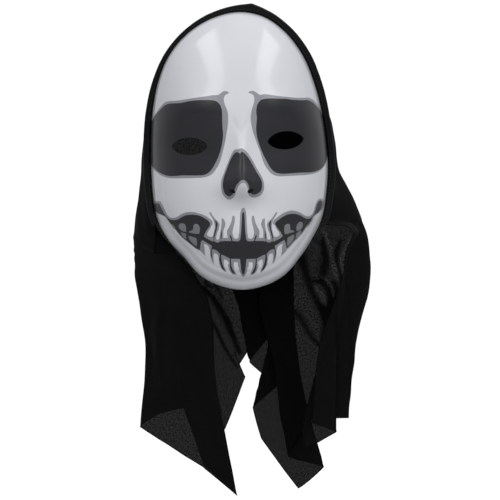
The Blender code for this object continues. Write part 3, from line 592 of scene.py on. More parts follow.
def holeLoop(x, z, halfLength, halfHeight, lift, count):
    turn = np.linspace(0, 2 * math.pi, count, endpoint=False)
    across = halfLength * np.cos(turn)
    up = halfHeight * np.sin(turn) * np.abs(np.sin(turn)) ** face["holePointedness"]
    lean = math.radians(lift) * math.copysign(1, x)
    cosine, sine = math.cos(lean), math.sin(lean)
    loop = np.stack([x + across * cosine - up * sine, z + across * sine + up * cosine], 1)
    size, seed = face["ragSize"], face["ragSeed"]
    rough = np.array([noise.noise(Vector((px * size, pz * size, seed))) for px, pz in loop])
    away = (loop - [x, z]) / np.hypot(*(loop - [x, z]).T)[:, None]
    return loop + away * rough[:, None] * face["holeRaggedness"]


def printLoops():  # the rim, the print and the holes on the flattened face, each with its ink
    turns = np.linspace(0, 2 * math.pi, face["rimSteps"], endpoint=False)
    loops = [("bare", outlineRadius(turns)[:, None] * np.stack([np.cos(turns), np.sin(turns)], 1))]
    for _, ink, outline in wholePrint:
        loops.append((ink, spread(smoothLoop(outline, faceMesh["printStep"]))))
    for _, ink, outline in halfPrint:
        half = smoothLoop(outline, faceMesh["grinStep"])
        mirrored = np.stack([2 * grinAxis - half[:, 0], half[:, 1]], 1)[::-1]
        loops += [(ink, spread(half)), (ink, spread(mirrored))]
    return loops + [("hole", spread(holeLoop(*hole))) for hole in holes]


def pointsWithin(rim):
    step, reach = faceMesh["step"], float(np.abs(rim).max())
    across = np.arange(-reach, reach, step)
    grid = np.array([(x + (row % 2) * step / 2, y) for row, y in enumerate(across) for x in across])
    limit = outlineRadius(np.arctan2(grid[:, 1], grid[:, 0])) - step * faceMesh["edgeClearance"]
    return grid[np.hypot(*grid.T) < limit]


def cutPrint(loops):  # triangles of the flattened face, and the ink level of each
    points, outlines = [], []
    for _, loop in loops:
        onward = np.roll(loop, -1, 0)
        area = (loop[:, 0] * onward[:, 1] - onward[:, 0] * loop[:, 1]).sum()
        corners = list(range(len(points), len(points) + len(loop)))
        outlines.append(corners if area > 0 else corners[::-1])  # counterclockwise
        points.extend(loop.tolist())
    points.extend(pointsWithin(loops[0][1]).tolist())
    flat, _, triangles, _, _, inside = delaunay_2d_cdt(
        [Vector(point) for point in points], [], outlines, 0, faceMesh["cutTolerance"], True)
    inks = [loops[max(members)][0] if 0 in members else "hole" for members in inside]
    shades = [inkLevels[ink] for ink in inks if ink != "hole"]
    kept = np.array([triangle for triangle, ink in zip(triangles, inks) if ink != "hole"])
    used, order = np.unique(kept, return_inverse=True)
    flat, kept = np.array([tuple(point) for point in flat])[used], order.reshape(kept.shape)
    a, b, c = (flat[kept[:, k]] for k in range(3))
    turned = (b[:, 0] - a[:, 0]) * (c[:, 1] - a[:, 1]) - (b[:, 1] - a[:, 1]) * (c[:, 0] - a[:, 0]) < 0
    kept[turned] = kept[turned][:, ::-1]  # counterclockwise as seen from the front
    return flat, kept, shades


def outward(flat, edgeShare):  # the surface's direction at points of the flattened face
    base = flat * np.minimum(1, faceMesh["probeWithin"] / np.maximum(edgeShare, 1e-6))[:, None]
    step = faceMesh["probe"]
    normals = np.cross(*(gather(base + way) - gather(base - way) for way in ([step, 0], [0, step])))
    return normals / np.linalg.norm(normals, axis=1)[:, None]


def makeFace(material):
    flat, kept, shades = cutPrint(printLoops())
    edgeShare = np.hypot(*flat.T) / outlineRadius(np.arctan2(flat[:, 1], flat[:, 0]))
    outer, normals, count = gather(flat), outward(flat, edgeShare), len(flat)
    edges = dict.fromkeys((triangle[k], triangle[(k + 1) % 3]) for triangle in kept for k in range(3))
    border = [(p, q) for p, q in edges if (q, p) not in edges]
    walls = [(q, p, p + count, q + count) for p, q in border]
    allFaces = kept.tolist() + (kept[:, ::-1] + count).tolist() + walls
    piece = meshFrom("formedFace", np.concatenate([outer, outer - normals * face["wall"]]), allFaces)
    # the holes' walls are painted dark as shade, and the rim's walls stay bare
    paintedWallShade = ["dark" if edgeShare[p] < face["wallShadeWithin"] else "bare" for p, _ in border]
    setValues(piece, "printAndPaintedShade", "FACE", shades + [0.0] * len(kept) + [inkLevels[ink] for ink in paintedWallShade])
    piece.data.shade_smooth()
    bothSides, cornerNormals = np.concatenate([normals, -normals]), []
    for polygon in piece.data.polygons:
        onWall = len(polygon.vertices) > 3
        cornerNormals += [tuple(polygon.normal if onWall else bothSides[v]) for v in polygon.vertices]
    piece.data.normals_split_custom_set(cornerNormals)
    print(f"face: {count} points a side, {len(kept)} triangles a side")
    return fitOut(piece, material, "face", "face_shell")


inkColours = {
    "bare": (0.735, 0.745, 0.785, 1), "pale": (0.215, 0.222, 0.240, 1),
    "grey": (0.290, 0.297, 0.325, 1), "dark": (0.0205, 0.0211, 0.0252, 1),
}
inkStops = {"bare": 0.0, "pale": 0.17, "grey": 0.5, "dark": 0.83}  # levels from which each ink shows
plastic = {
    "colour": inkColours["bare"], "roughness": 0.16, "gloss": 0.5, "patchScale": 26.0, "colourChange": 0.05,
    "roughnessChange": 0.10, "coat": 0.35, "coatRoughness": 0.06, "waviness": 0.12, "wavinessDepth": 0.0006,
    "inkRoughness": 0.22, "inkCoatLoss": 0.22,  # how much duller the dark ink is
}


def makePlastic():
    material, tree, shader, marks, _ = markedMaterial("printedPlastic", plastic)
    # the print's inks, and the painted shade on the holes' walls
    level = addNode(tree, "ShaderNodeAttribute", {"attribute_name": "printAndPaintedShade"}).outputs["Fac"]
    ramp = addNode(tree, "ShaderNodeValToRGB", None, Fac=level)
    ramp.color_ramp.interpolation = "CONSTANT"
    stops = ramp.color_ramp.elements
    for k, (ink, start) in enumerate(inkStops.items()):
        stop = stops[k] if k < 2 else stops.new(start)
        stop.position, stop.color = start, inkColours[ink]
    tree.links.new(ramp.outputs["Color"], marks.inputs["Colour"])
    duller = calc(tree, "MULTIPLY", level, plastic["inkRoughness"])
    tree.links.new(calc(tree, "ADD", duller, plastic["roughness"]), marks.inputs["Roughness"])
    lost = calc(tree, "MULTIPLY", level, plastic["inkCoatLoss"])
    tree.links.new(calc(tree, "SUBTRACT", plastic["coat"], lost), shader.inputs["Coat Weight"])
    shader.inputs["Coat Roughness"].default_value = plastic["coatRoughness"]
    addBump(tree, shader, marks.outputs["Height"], plastic["waviness"], plastic["wavinessDepth"])
    return material


makeFace(makePlastic())

# the band round the face's edge

band = {
    "ahead": 3.5, "behind": 6.5,  # how far it reaches either side of the rim, along y
    "endZ": -205.0,
    "steps": 420, "sides": 24,
    "squareness": 0.6,
    "peakX": 9.0, "peakRise": 3.0, "peakReach": 9.0, "peakNarrowness": 6,
    "gap": 0.3,
    "pucker": 0.35,  # how deep the gathers of the folded cloth are
    "gathers": ((1.0, 22.0, 0.6, 1.0), (0.6, 60.0, 1.3, 5.0)),  # share, scale along, scale round, seed
    "gatheredFrom": -0.5,  # share of the half width, from its inner side
    "drawnIn": 0.03,
    "creaseDepth": 0.35, "creaseWidth": 0.22,  # along the middle of its front
    "stitchAcross": -0.42, "stitchSink": 0.985,  # shares of its half width and half depth
    "stitchSpacing": 3.1, "stitchLength": 2.2, "threadRadius": 0.22,
    "sharpFrom": 60.0,
}
bandWidths = (  # z, width on the left, width on the right
    (-4.0, 5.4, 6.4), (-20.0, 4.4, 6.6), (-45.0, 4.4, 7.0), (-80.0, 5.6, 7.0), (-110.0, 6.8, 6.6),
    (-160.0, 7.2, 7.2), (-206.0, 6.6, 6.6),
)
widthChange = 30.0  # how wide the middle is, where the left width turns into the right one


def edgeFrame(angle, aside=0.01):
    nearby = np.array([angle - aside, angle, angle + aside])
    radius = outlineRadius(nearby)
    x, z = radius * np.cos(nearby), face["centreZ"] + radius * np.sin(nearby)
    along = np.array([x[2] - x[0], z[2] - z[0]])
    along /= np.hypot(*along)
    return np.array([x[1], float(rimY(z[1])), z[1]]), np.array([along[1], 0.0, -along[0]])


def cheekAngle(side):
    angles = np.linspace(-math.pi / 2, math.pi / 2, 721)
    angles = angles if side > 0 else math.pi - angles
    heights = face["centreZ"] + outlineRadius(angles) * np.sin(angles)
    return float(np.interp(band["endZ"], heights, angles))


def peakRise(x):
    return band["peakRise"] * math.exp(-abs(x - band["peakX"]) / band["peakReach"])


def bandWidth(x, z):
    left, right = tableAt(bandWidths, z)
    return float(left + (right - left) * np.clip(0.5 + x / widthChange, 0, 1))


def bandRing(angle, centre, out, halfWide, halfDeep):
    ring = []
    for turn in 2 * math.pi * (np.arange(band["sides"]) + 0.5) / band["sides"]:
        cosine, sine = math.cos(turn), math.sin(turn)
        wide, deep = (math.copysign(abs(way) ** band["squareness"], way) for way in (cosine, sine))
        folds = sum(
            share * noise.noise(Vector((angle * scaleAlong, turn * scaleRound, seed)))
            for share, scaleAlong, scaleRound, seed in band["gathers"])
        crease = band["creaseDepth"] * math.exp(-(((turn - 1.5 * math.pi) / band["creaseWidth"]) ** 2))
        gathered = band["pucker"] * (0.5 + 0.5 * folds) * (wide > band["gatheredFrom"])
        depth = deep * (halfDeep - gathered - crease)
        ring.append(centre + out * wide * halfWide * (1 - band["drawnIn"] * (1 + folds)) + [0.0, depth, 0.0])
    return ring


def makeBand(material, threadMaterial):
    rings, stitchLine = [], []
    halfDeep = (band["behind"] + band["ahead"]) / 2
    for angle in np.linspace(cheekAngle(1), cheekAngle(-1), band["steps"]):
        edge, out = edgeFrame(angle)
        lift = peakRise(edge[0]) * max(0.0, math.sin(angle)) ** band["peakNarrowness"]
        halfWide = (bandWidth(edge[0], edge[2]) + lift) / 2
        centre = edge + out * (band["gap"] + halfWide)
        centre[1] += (band["behind"] - band["ahead"]) / 2
        rings.append(bandRing(angle, centre, out, halfWide, halfDeep))
        ahead = [0.0, halfDeep * band["stitchSink"], 0.0]
        stitchLine.append(centre + out * band["stitchAcross"] * halfWide - ahead)
    piece = ringMesh("bandRoll", rings)
    piece.data.set_sharp_from_angle(angle=math.radians(band["sharpFrom"]))
    fitOut(piece, material, "band", "edge_band")
    fitOut(makeStitches("bandStitches", stitchLine, band, threadMaterial), threadMaterial, "band")
    print("band and its stitches made")


# stitches: a row of short threads along a line, made by Geometry Nodes

stitch = {"segments": 8, "rings": 6, "shortest": 0.88, "longest": 1.1, "seed": 7}


def stitchTree(threadMaterial):
    tree = bpy.data.node_groups.new("stitchRow", "GeometryNodeTree")
    tree.interface.new_socket("Line", in_out="INPUT", socket_type="NodeSocketGeometry")
    for label in ("Spacing", "Length", "Thread Radius"):
        tree.interface.new_socket(label, in_out="INPUT", socket_type="NodeSocketFloat")
    tree.interface.new_socket("Stitches", in_out="OUTPUT", socket_type="NodeSocketGeometry")
    given, out = tree.nodes.new("NodeGroupInput"), tree.nodes.new("NodeGroupOutput")
    line = addNode(tree, "GeometryNodeMeshToCurve", None, Mesh=given.outputs["Line"])
    spots = addNode(tree, "GeometryNodeCurveToPoints", {"mode": "LENGTH"}, Curve=line.outputs[0],
                    Length=given.outputs["Spacing"])
    thread = addNode(tree, "GeometryNodeMeshUVSphere", None, Segments=stitch["segments"],
                     Rings=stitch["rings"], Radius=1.0)
    half = calc(tree, "MULTIPLY", given.outputs["Length"], 0.5)
    wobble = addNode(tree, "FunctionNodeRandomValue", {"data_type": "FLOAT"}, Seed=stitch["seed"])
    limits = [socket for socket in wobble.inputs if socket.name in ("Min", "Max") and socket.type == "VALUE"]
    for socket, value in zip(limits, (stitch["shortest"], stitch["longest"])):
        socket.default_value = value
    random = next(socket for socket in wobble.outputs if socket.type == "VALUE")
    radius, varied = given.outputs["Thread Radius"], calc(tree, "MULTIPLY", half, random)
    size = addNode(tree, "ShaderNodeCombineXYZ", None, X=radius, Y=radius, Z=varied)
    placed = addNode(tree, "GeometryNodeInstanceOnPoints", None, Points=spots.outputs["Points"],
                     Rotation=spots.outputs["Rotation"], Instance=thread.outputs["Mesh"],
                     Scale=size.outputs[0])
    real = addNode(tree, "GeometryNodeRealizeInstances", None, Geometry=placed.outputs[0])
    finished = addNode(tree, "GeometryNodeSetMaterial", None, Geometry=real.outputs[0],
                       Material=threadMaterial)
    tree.links.new(finished.outputs[0], out.inputs[0])
    return tree


def makeStitches(name, line, settings, threadMaterial):
    guide = meshFrom(name + "Line", line, [])
    guide.data.edges.add(len(line) - 1)
    guide.data.edges.foreach_set("vertices", [v for k in range(len(line) - 1) for v in (k, k + 1)])
    tree = bpy.data.node_groups.get("stitchRow") or stitchTree(threadMaterial)
    row = guide.modifiers.new("stitches", "NODES")
    row.node_group = tree
    sizes = {"Spacing": "stitchSpacing", "Length": "stitchLength", "Thread Radius": "threadRadius"}
    for socket in tree.interface.items_tree:
        if socket.in_out == "INPUT" and socket.name in sizes:
            row[socket.identifier] = settings[sizes[socket.name]] * mm
    bpy.context.view_layer.update()
    data = bpy.data.meshes.new_from_object(guide.evaluated_get(bpy.context.evaluated_depsgraph_get()))
    bpy.data.objects.remove(guide)
    data.name = name
    data.shade_smooth()
    return placePiece(name, data)


bandCloth = {
    "colour": (0.0058, 0.0058, 0.0060, 1), "roughness": 0.62, "gloss": 0.15, "patchScale": 60.0,
    "colourChange": 0.6, "roughnessChange": 0.2, "threads": 1100.0, "slub": 0.5, "weaveStrength": 0.35,
    "weaveDepth": 0.0003,
}
thread = {
    "colour": (0.010, 0.010, 0.010, 1), "roughness": 0.5, "gloss": 0.5, "patchScale": 300.0,
    "colourChange": 0.4, "roughnessChange": 0.2,
}


def makeBandCloth():
    material, tree, shader, _, place = markedMaterial("foldedBandCloth", bandCloth)
    addWeave(tree, shader, place, bandCloth)
    return material


blackThread = markedMaterial("blackThread", thread)[0]
makeBand(makeBandCloth(), blackThread)

# the hood

hood = {
    "standOff": 3.9,  # from the face's outline to the hood's front edge
    "cheekZ": -204.0,
    "upperRows": 78, "lowerRows": 150,
    "cellsPerFold": 22,
    "fullness": 0.86,
    "crownShare": 0.035, "crownTightness": 40.0, "crownRadius": 150.0,
    "tuckShare": 0.12,  # share round the head over which it tucks in behind the band
    "peakEnd": 0.25,  # share of the way to the cheek where the peak has run out
    "headCentreZ": -90.0,
    "napeX": 3.0,
    "swellFade": 30.0,
    "hemCrispness": 0.85, "crispFrom": 0.7,
    "seamLap": 0.7, "seamStep": 2.6,
    "chinFall": 0.2, "chestFall": 0.62,  # shares of the way from the cheek to the hem
    "leadShare": 1 / 11, "leadFall": -0.09,  # the row above the cheek that leads into the fall
    "turnSlope": 0.25,
    "ripple": 1.5, "rippleWidth": 15.0, "rippleLength": 80.0,
    "crumple": 0.55, "crumpleSize": 13.0, "crumpleStretch": 1.6, "crumpleSeed": 9.0,
    "heldWidth": 25.0, "sewnWidth": 20.0, "crownRows": 12.0,  # where the ripples die out
    "linedDownTo": -176.0, "linedFade": 12.0, "linedEdge": 0.02,  # the second layer at the back of the head
    "mapRow": 50,  # the row below the cheek that the cloth is measured down from
    "hemRadius": 0.42, "hemSides": 8,
    "stitchSpacing": 3.4, "stitchLength": 2.4, "threadRadius": 0.2,
    "stitchRow": 6, "stitchColumn": -3, "stitchRise": 0.25,
}
ridge = (  # share of the way from the peak to the nape, y, z
    (0.0, -60.6, -0.8), (0.18, -30.0, -1.2), (0.36, 5.0, -4.0), (0.52, 38.0, -17.0),
    (0.64, 60.0, -45.0), (0.76, 71.0, -88.0), (0.88, 69.0, -140.0), (1.0, 61.0, -196.0),
)
hoodSides = (  # z, x of the left side, x of the right side, where the hood swells past the band
    (-70.0, -84.0, 76.0), (-100.0, -89.5, 84.5), (-120.0, -91.5, 88.2), (-140.0, -93.5, 90.4),
    (-155.0, -94.0, 93.5), (-168.0, -96.2, 100.5), (-180.0, -98.2, 107.0), (-195.0, -100.4, 113.0),
    (-204.0, -101.6, 116.0),
)
frontTurn = (  # z, x of the free edge where it turns out under the right cheek
    (-204.1, 80.8), (-205.2, 94.0), (-209.9, 103.5), (-214.7, 107.3), (-221.3, 104.5), (-227.0, 102.1),
    (-233.7, 99.8), (-242.2, 98.8), (-251.8, 98.3), (-260.3, 95.9), (-273.6, 91.2), (-287.8, 84.5),
)
# each fold from a panel's free front edge to the seam at the back: name, share of the way round the head,
# x and y at the chin, x and y at the chest, and x, y and z at the hem
leftFolds = (
    ("turnedEdge", 0.00, -84.0, -30.0, -64.6, -36.0, -35.2, -40.0, -436.0),
    ("frontFold", 0.07, -42.0, -66.0, -22.5, -60.0, -3.8, -51.0, -464.0),
    ("frontPanel", 0.17, -70.0, -57.0, -58.0, -55.0, -35.9, -53.0, -437.4),
    ("sideFold", 0.34, -101.8, -14.0, -91.2, -14.0, -96.3, -20.0, -399.4),
    ("sidePanel", 0.52, -86.0, 24.0, -78.0, 18.0, -78.9, 10.0, -387.6),
    ("rearHollow", 0.66, -58.0, 38.0, -57.0, 31.0, -53.2, 23.0, -381.9),
    ("rearFold", 0.76, -38.0, 57.0, -31.0, 53.0, -16.6, 46.0, -404.5),
    ("corner", 0.84, -33.0, 56.0, -22.8, 52.5, 3.8, 48.0, -352.5),
    ("centreTuck", 0.90, -29.0, 56.5, -18.5, 53.5, -1.9, 51.0, -340.6),
    ("seam", 1.00, 3.0, 60.0, 5.0, 60.0, 5.7, 60.0, -327.8),
)
rightFolds = (
    ("turnedEdge", 0.00, 95.0, -46.0, 74.5, -46.0, 68.0, -45.0, -395.2),
    ("frontPleat", 0.06, 98.0, -38.0, 90.3, -42.0, 90.9, -42.0, -403.8),
    ("pleatBack", 0.11, 97.0, -30.0, 79.0, -34.0, 61.0, -35.0, -420.0),
    ("pleatHollow", 0.16, 101.0, -24.0, 79.0, -28.0, 59.0, -29.0, -392.0),
    ("sideFold", 0.27, 123.6, -5.0, 110.0, -9.0, 102.9, -11.0, -391.0),
    ("sidePanel", 0.40, 106.0, 22.0, 95.0, 19.0, 84.6, 18.0, -389.5),
    ("rearPanel", 0.54, 78.0, 37.0, 70.0, 31.0, 63.6, 30.0, -396.0),
    ("pleatRoot", 0.66, 24.2, 44.0, 31.4, 40.0, 44.2, 39.0, -428.7),
    ("pleatCrest", 0.73, 50.5, 47.0, 57.0, 43.5, 79.8, 42.5, -438.9),
    ("corner", 0.78, 37.0, 49.2, 40.0, 46.5, 55.1, 46.0, -459.8),
    ("cornerPanel", 0.805, 34.0, 50.4, 33.5, 48.0, 19.6, 47.4, -412.0),
    ("innerCrest", 0.83, 28.5, 51.4, 26.6, 49.2, 11.4, 48.8, -381.9),
    ("innerRoot", 0.88, 37.0, 53.6, 35.0, 52.0, 34.2, 51.6, -361.5),
    ("centreRoot", 0.92, -11.0, 55.8, -2.2, 54.6, 7.6, 54.2, -338.2),
    ("centreCrest", 0.96, 20.0, 58.0, 21.6, 57.4, 24.8, 57.0, -316.4),
    ("seam", 1.00, 3.0, 60.4, 5.0, 60.4, 5.7, 60.2, -327.8),
)
# the small folds: between two folds, each with how much it folds over (a negative amount is a painted
# highlight, letting more light through), how far it sinks in, and the points of its line as x, z and half
# width
leftCreases = (
    ("rearHollow", "seam", (
        (0.95, 2.0, (
            (-36.1, -266.9, 1.4), (-27.5, -276.4, 2.7), (-19.9, -287.8, 3.2), (-14.2, -299.2, 3.0),
            (-9.5, -310.6, 2.3), (-5.2, -321.1, 2.0), (-0.9, -329.6, 1.4))),
        (0.9, 1.2, (
            (-39.9, -270.8, 1.0), (-33.2, -287.8, 1.2), (-27.5, -300.2, 1.2), (-21.8, -311.6, 1.3),
            (-15.2, -325.8, 1.4), (-9.5, -335.3, 1.3), (-3.8, -342.9, 1.2))),
        (0.8, 0.8, ((-25.6, -263.1, 1.8), (-21.8, -269.8, 2.0), (-18.1, -277.4, 1.0))),
        (0.8, 0.8, ((-34.2, -262.2, 2.0), (-28.5, -266.9, 1.4))),
        (0.45, 0.5, ((-13.3, -295.4, 0.8), (-9.5, -306.8, 0.9), (-4.8, -317.3, 0.8))),
    )),
    ("turnedEdge", "frontFold", (
        (0.0, 1.3, (
            (-72.2, -325.8, 0.8), (-64.6, -347.7, 0.9), (-55.6, -368.6, 0.9), (-50.3, -383.8, 0.8))),
    )),
    ("frontPanel", "sideFold", (
        (0.0, 1.6, ((-90.2, -313.5, 1.4), (-85.5, -333.4, 1.9), (-77.0, -358.1, 1.1))),
    )),
    ("turnedEdge", "frontPanel", (
        (0.0, 1.8, ((-67.5, -323.9, 1.1), (-60.8, -346.8, 1.4), (-54.1, -369.5, 0.8))),
    )),
)
rightCreases = (
    ("sideFold", "pleatRoot", (
        (0.95, 2.0, (
            (57.0, -235.6, 4.9), (61.8, -251.8, 3.2), (65.5, -264.1, 2.7), (70.3, -275.5, 2.5),
            (75.0, -284.1, 2.7), (80.8, -295.4, 3.2))),
        (0.9, 1.6, (
            (78.8, -219.4, 1.6), (79.8, -230.8, 3.0), (81.7, -241.3, 4.2), (78.8, -251.8, 4.2),
            (77.9, -258.4, 2.5))),
        (0.85, 1.2, (
            (95.0, -221.3, 2.0), (92.1, -230.8, 2.5), (91.7, -239.4, 2.0), (95.0, -251.8, 1.4),
            (95.9, -261.2, 2.0))),
        (0.9, 1.5, (
            (70.3, -260.3, 1.7), (77.9, -262.2, 2.2), (83.1, -268.8, 2.5), (85.0, -278.3, 2.5),
            (85.5, -287.8, 3.0))),
        (0.9, 0.8, ((88.3, -262.2, 2.7), (92.1, -270.8, 3.6), (93.1, -281.2, 3.6))),
        (0.9, 1.5, (
            (49.4, -288.8, 2.5), (55.1, -293.6, 3.0), (61.8, -304.9, 2.1), (67.5, -314.4, 1.8),
            (76.0, -323.0, 1.4))),
        (0.5, 0.6, ((67.5, -213.8, 0.8), (75.0, -224.2, 1.7))),
        (-0.75, -1.6, (
            (79.8, -211.8, 1.1), (83.1, -221.3, 1.1), (86.0, -230.8, 1.2), (86.5, -238.4, 1.3),
            (88.3, -246.0, 2.3), (91.2, -254.6, 1.9), (92.6, -260.3, 0.8))),
        (-0.5, -0.8, ((95.9, -219.4, 0.8), (91.2, -224.2, 0.9), (86.5, -230.8, 1.1))),
        (-0.9, -1.6, (
            (109.2, -213.8, 0.9), (105.4, -219.4, 1.2), (101.6, -226.1, 1.4), (98.3, -233.7, 1.8),
            (96.4, -242.2, 1.8), (97.4, -251.8, 0.9))),
        (-0.6, -1.4, ((71.2, -265.1, 1.1), (75.0, -271.7, 2.5), (79.3, -278.3, 2.5), (81.7, -284.1, 0.9))),
        (-0.7, -0.8, (
            (77.0, -256.5, 0.6), (83.6, -260.3, 0.8), (87.4, -266.9, 0.9), (88.3, -274.6, 0.7),
            (88.3, -284.1, 0.5))),
        (-0.6, 0.0, ((51.3, -289.8, 0.5), (53.2, -306.8, 0.7), (54.1, -321.1, 0.5))),
        (0.95, 0.0, (
            (89.3, -278.3, 2.4), (85.5, -285.9, 4.8), (83.6, -293.6, 4.8), (81.7, -303.1, 3.8),
            (78.8, -314.4, 2.4))),
    )),
    ("turnedEdge", "sideFold", (
        (0.0, 1.6, ((90.2, -278.3, 0.8), (90.2, -335.3, 0.9), (89.3, -401.8, 0.8))),
        (0.0, 1.4, ((101.6, -266.9, 1.1), (102.6, -316.3, 1.5), (103.5, -371.4, 1.1))),
    )),
    ("pleatBack", "rearPanel", (
        (-2.2, 0.0, (
            (123.5, -251.8, 2.4), (120.6, -273.6, 4.8), (114.9, -297.3, 4.8), (109.2, -321.1, 2.4))),
    )),
)
# thinnest limits the negative amounts, so it sets the brightest painted highlight along the folds
creaseShape = {"reach": 9.0, "steepness": 0.7, "flatness": 1.25, "thinnest": -2.5}
panels = {  # flat size and area are in metres
    "hoodLeft": {
        "side": -1, "node": "hood_left", "flat": (0.37, 0.54), "area": 0.097, "folds": leftFolds,
        "creases": leftCreases, "anchor": "corner", "linedFrom": 0.76, "seed": 2.0,
    },
    "hoodRight": {
        "side": 1, "node": "hood_right", "flat": (0.51, 0.55), "area": 0.096, "folds": rightFolds,
        "creases": rightCreases, "anchor": "rearPanel", "linedFrom": 0.0, "seed": 5.0,
    },
}


def foldPlace(folds, name):
    return [fold[0] for fold in folds].index(name)


def frontEdge(side, share):
    peak = math.acos(min(1.0, band["peakX"] / hood["crownRadius"]))
    edge, out = edgeFrame(peak + (cheekAngle(side) - peak) * share)
    point = edge + out * (hood["standOff"] + peakRise(edge[0]) * max(0.0, 1 - share / hood["peakEnd"]))
    point[1] += band["behind"] + band["gap"]
    return point


def swell(side, z, around, atShare, naturalX):
    wanted = tableAt(hoodSides, z)[0 if side < 0 else 1]
    fade = float(np.clip((hoodSides[0][0] - z) / hood["swellFade"], 0, 1))
    before = np.sin(np.clip(around / atShare, 0, 1) * math.pi / 2) ** 2
    after = np.cos(np.clip((around - atShare) / (1 - atShare), 0, 1) * math.pi / 2) ** 2
    return side * max(0.0, abs(wanted) - abs(naturalX)) * fade * np.where(around < atShare, before, after)


def keepBehindBand(x, z, share):
    angle = np.arctan2(z - face["centreZ"], x)
    radius = np.hypot(x, z - face["centreZ"])
    limit = outlineRadius(angle) + hood["standOff"]
    tight = hood["crownTightness"]
    drawn = (radius**-tight + limit**-tight) ** (-1 / tight)
    radius = radius + (drawn - radius) * share
    return radius * np.cos(angle), face["centreZ"] + radius * np.sin(angle)


def upperRow(side, share, around, sideShare):
    front = frontEdge(side, share)
    top = tableAt(ridge, (share - hood["crownShare"]) / (1 - hood["crownShare"]))
    out = top - [0.0, hood["headCentreZ"]]
    ridgeY, ridgeZ = top - out / np.hypot(*out) * (hood["seamStep"] if side < 0 else 0.0)
    seamX = band["peakX"] * (1 - share) ** 2 + hood["napeX"] * share**2 - side * hood["seamLap"]
    around = np.append(np.asarray(around), sideShare)
    towards = np.sin(around * math.pi / 2) ** hood["fullness"]
    away = np.clip(np.cos(around * math.pi / 2), 0, 1) ** hood["fullness"]
    x = seamX + (front[0] - seamX) * away
    y = front[1] + (ridgeY - front[1]) * towards
    z = front[2] + (ridgeZ - front[2]) * towards
    x, z = keepBehindBand(x, z, np.clip(around / hood["tuckShare"], 0, 1))
    x = x + swell(side, z[-1], around, sideShare, x[-1])
    return np.stack([x, y, z], axis=-1)[:-1]


def panelPoints(side, folds):
    around = [fold[1] for fold in folds]
    sideShare = around[foldPlace(folds, "sideFold")]
    shares = np.linspace(hood["crownShare"], 1, hood["upperRows"])
    upper = [upperRow(side, share, around, sideShare) for share in shares]
    lead = upperRow(side, 1 - (1 - hood["crownShare"]) * hood["leadShare"], around, sideShare)
    chin, chest, hem = [], [], []
    for name, _, chinX, chinY, chestX, chestY, hemX, hemY, hemZ in folds:
        lap = -side * hood["seamLap"] if name == "seam" else 0.0
        inside = hood["seamStep"] if name == "seam" and side < 0 else 0.0
        fallZ = hemZ - hood["cheekZ"]
        chin.append((chinX + lap, chinY - inside, hood["cheekZ"] + fallZ * hood["chinFall"]))
        chest.append((chestX + lap, chestY - inside, hood["cheekZ"] + fallZ * hood["chestFall"]))
        hem.append((hemX + lap, hemY - inside, hemZ))
    stations = (hood["leadFall"], 0.0, hood["chinFall"], hood["chestFall"], 1.0)
    falls = np.linspace(0, 1, hood["lowerRows"] + 1)[1:]
    lower = curveThrough(stations, np.array([lead, upper[-1], chin, chest, hem]), falls)
    softness = [1.0] * hood["upperRows"] + list(1 - hood["hemCrispness"] * falls ** hood["crispFrom"])
    count = len(folds)
    fine = np.linspace(0, count - 1, (count - 1) * hood["cellsPerFold"] + 1)
    rows = zip(np.concatenate([upper, lower]), softness)
    return np.array([curveThrough(np.arange(count), row, fine, soft) for row, soft in rows])


def turnFrontEdge(grid, folds):  # the free edge under the right cheek turns out to the side
    last = (foldPlace(folds, "pleatHollow") + 1) * hood["cellsPerFold"]
    heights, limits = zip(*sorted(frontTurn))
    for row in grid[hood["upperRows"] :]:
        if heights[0] < row[0, 2] < heights[-1]:
            limit = float(np.interp(row[0, 2], heights, limits))
            push = np.clip(limit + hood["turnSlope"] * (row[:last, 0] - row[0, 0]) - row[:last, 0], 0, None)
            row[:last, 0] += push * np.clip((last - np.arange(last)) / hood["cellsPerFold"], 0, 1)


def creaseMap(creases, folds, grid):  # how much the cloth folds over, negative where a painted highlight lets more light through, and how far it sinks in
    x, z = grid[..., 0], grid[..., 2]
    column = np.arange(grid.shape[1]) / hood["cellsPerFold"]
    over, sunk = np.zeros(x.shape), np.zeros(x.shape)
    for first, last, lines in creases:
        inLayer = (column >= foldPlace(folds, first)) & (column <= foldPlace(folds, last))
        for amount, depth, line in lines:
            near = np.full(x.shape, creaseShape["reach"])
            for (x1, z1, w1), (x2, z2, w2) in zip(line[:-1], line[1:]):
                runX, runZ = x2 - x1, z2 - z1
                t = np.clip(((x - x1) * runX + (z - z1) * runZ) / (runX**2 + runZ**2), 0, 1)
                near = np.minimum(near, np.hypot(x - x1 - t * runX, z - z1 - t * runZ) / (w1 + t * (w2 - w1)))
            shape = np.exp(-(near**2) * creaseShape["steepness"]) * inLayer
            over += amount * np.clip(creaseShape["flatness"] * shape, 0, 1)
            sunk += depth * shape
    return np.clip(over, creaseShape["thinnest"], 1), sunk


def gridNormals(grid):
    normals = np.cross(np.gradient(grid, axis=1), np.gradient(grid, axis=0))
    return normals / np.maximum(np.linalg.norm(normals, axis=2), 1e-9)[..., None]


def measured(grid, axis):  # lengths along the cloth from its first row or column
    steps = np.linalg.norm(np.diff(grid, axis=axis), axis=2)
    return np.insert(np.cumsum(steps, axis=axis), 0, 0.0, axis=axis)


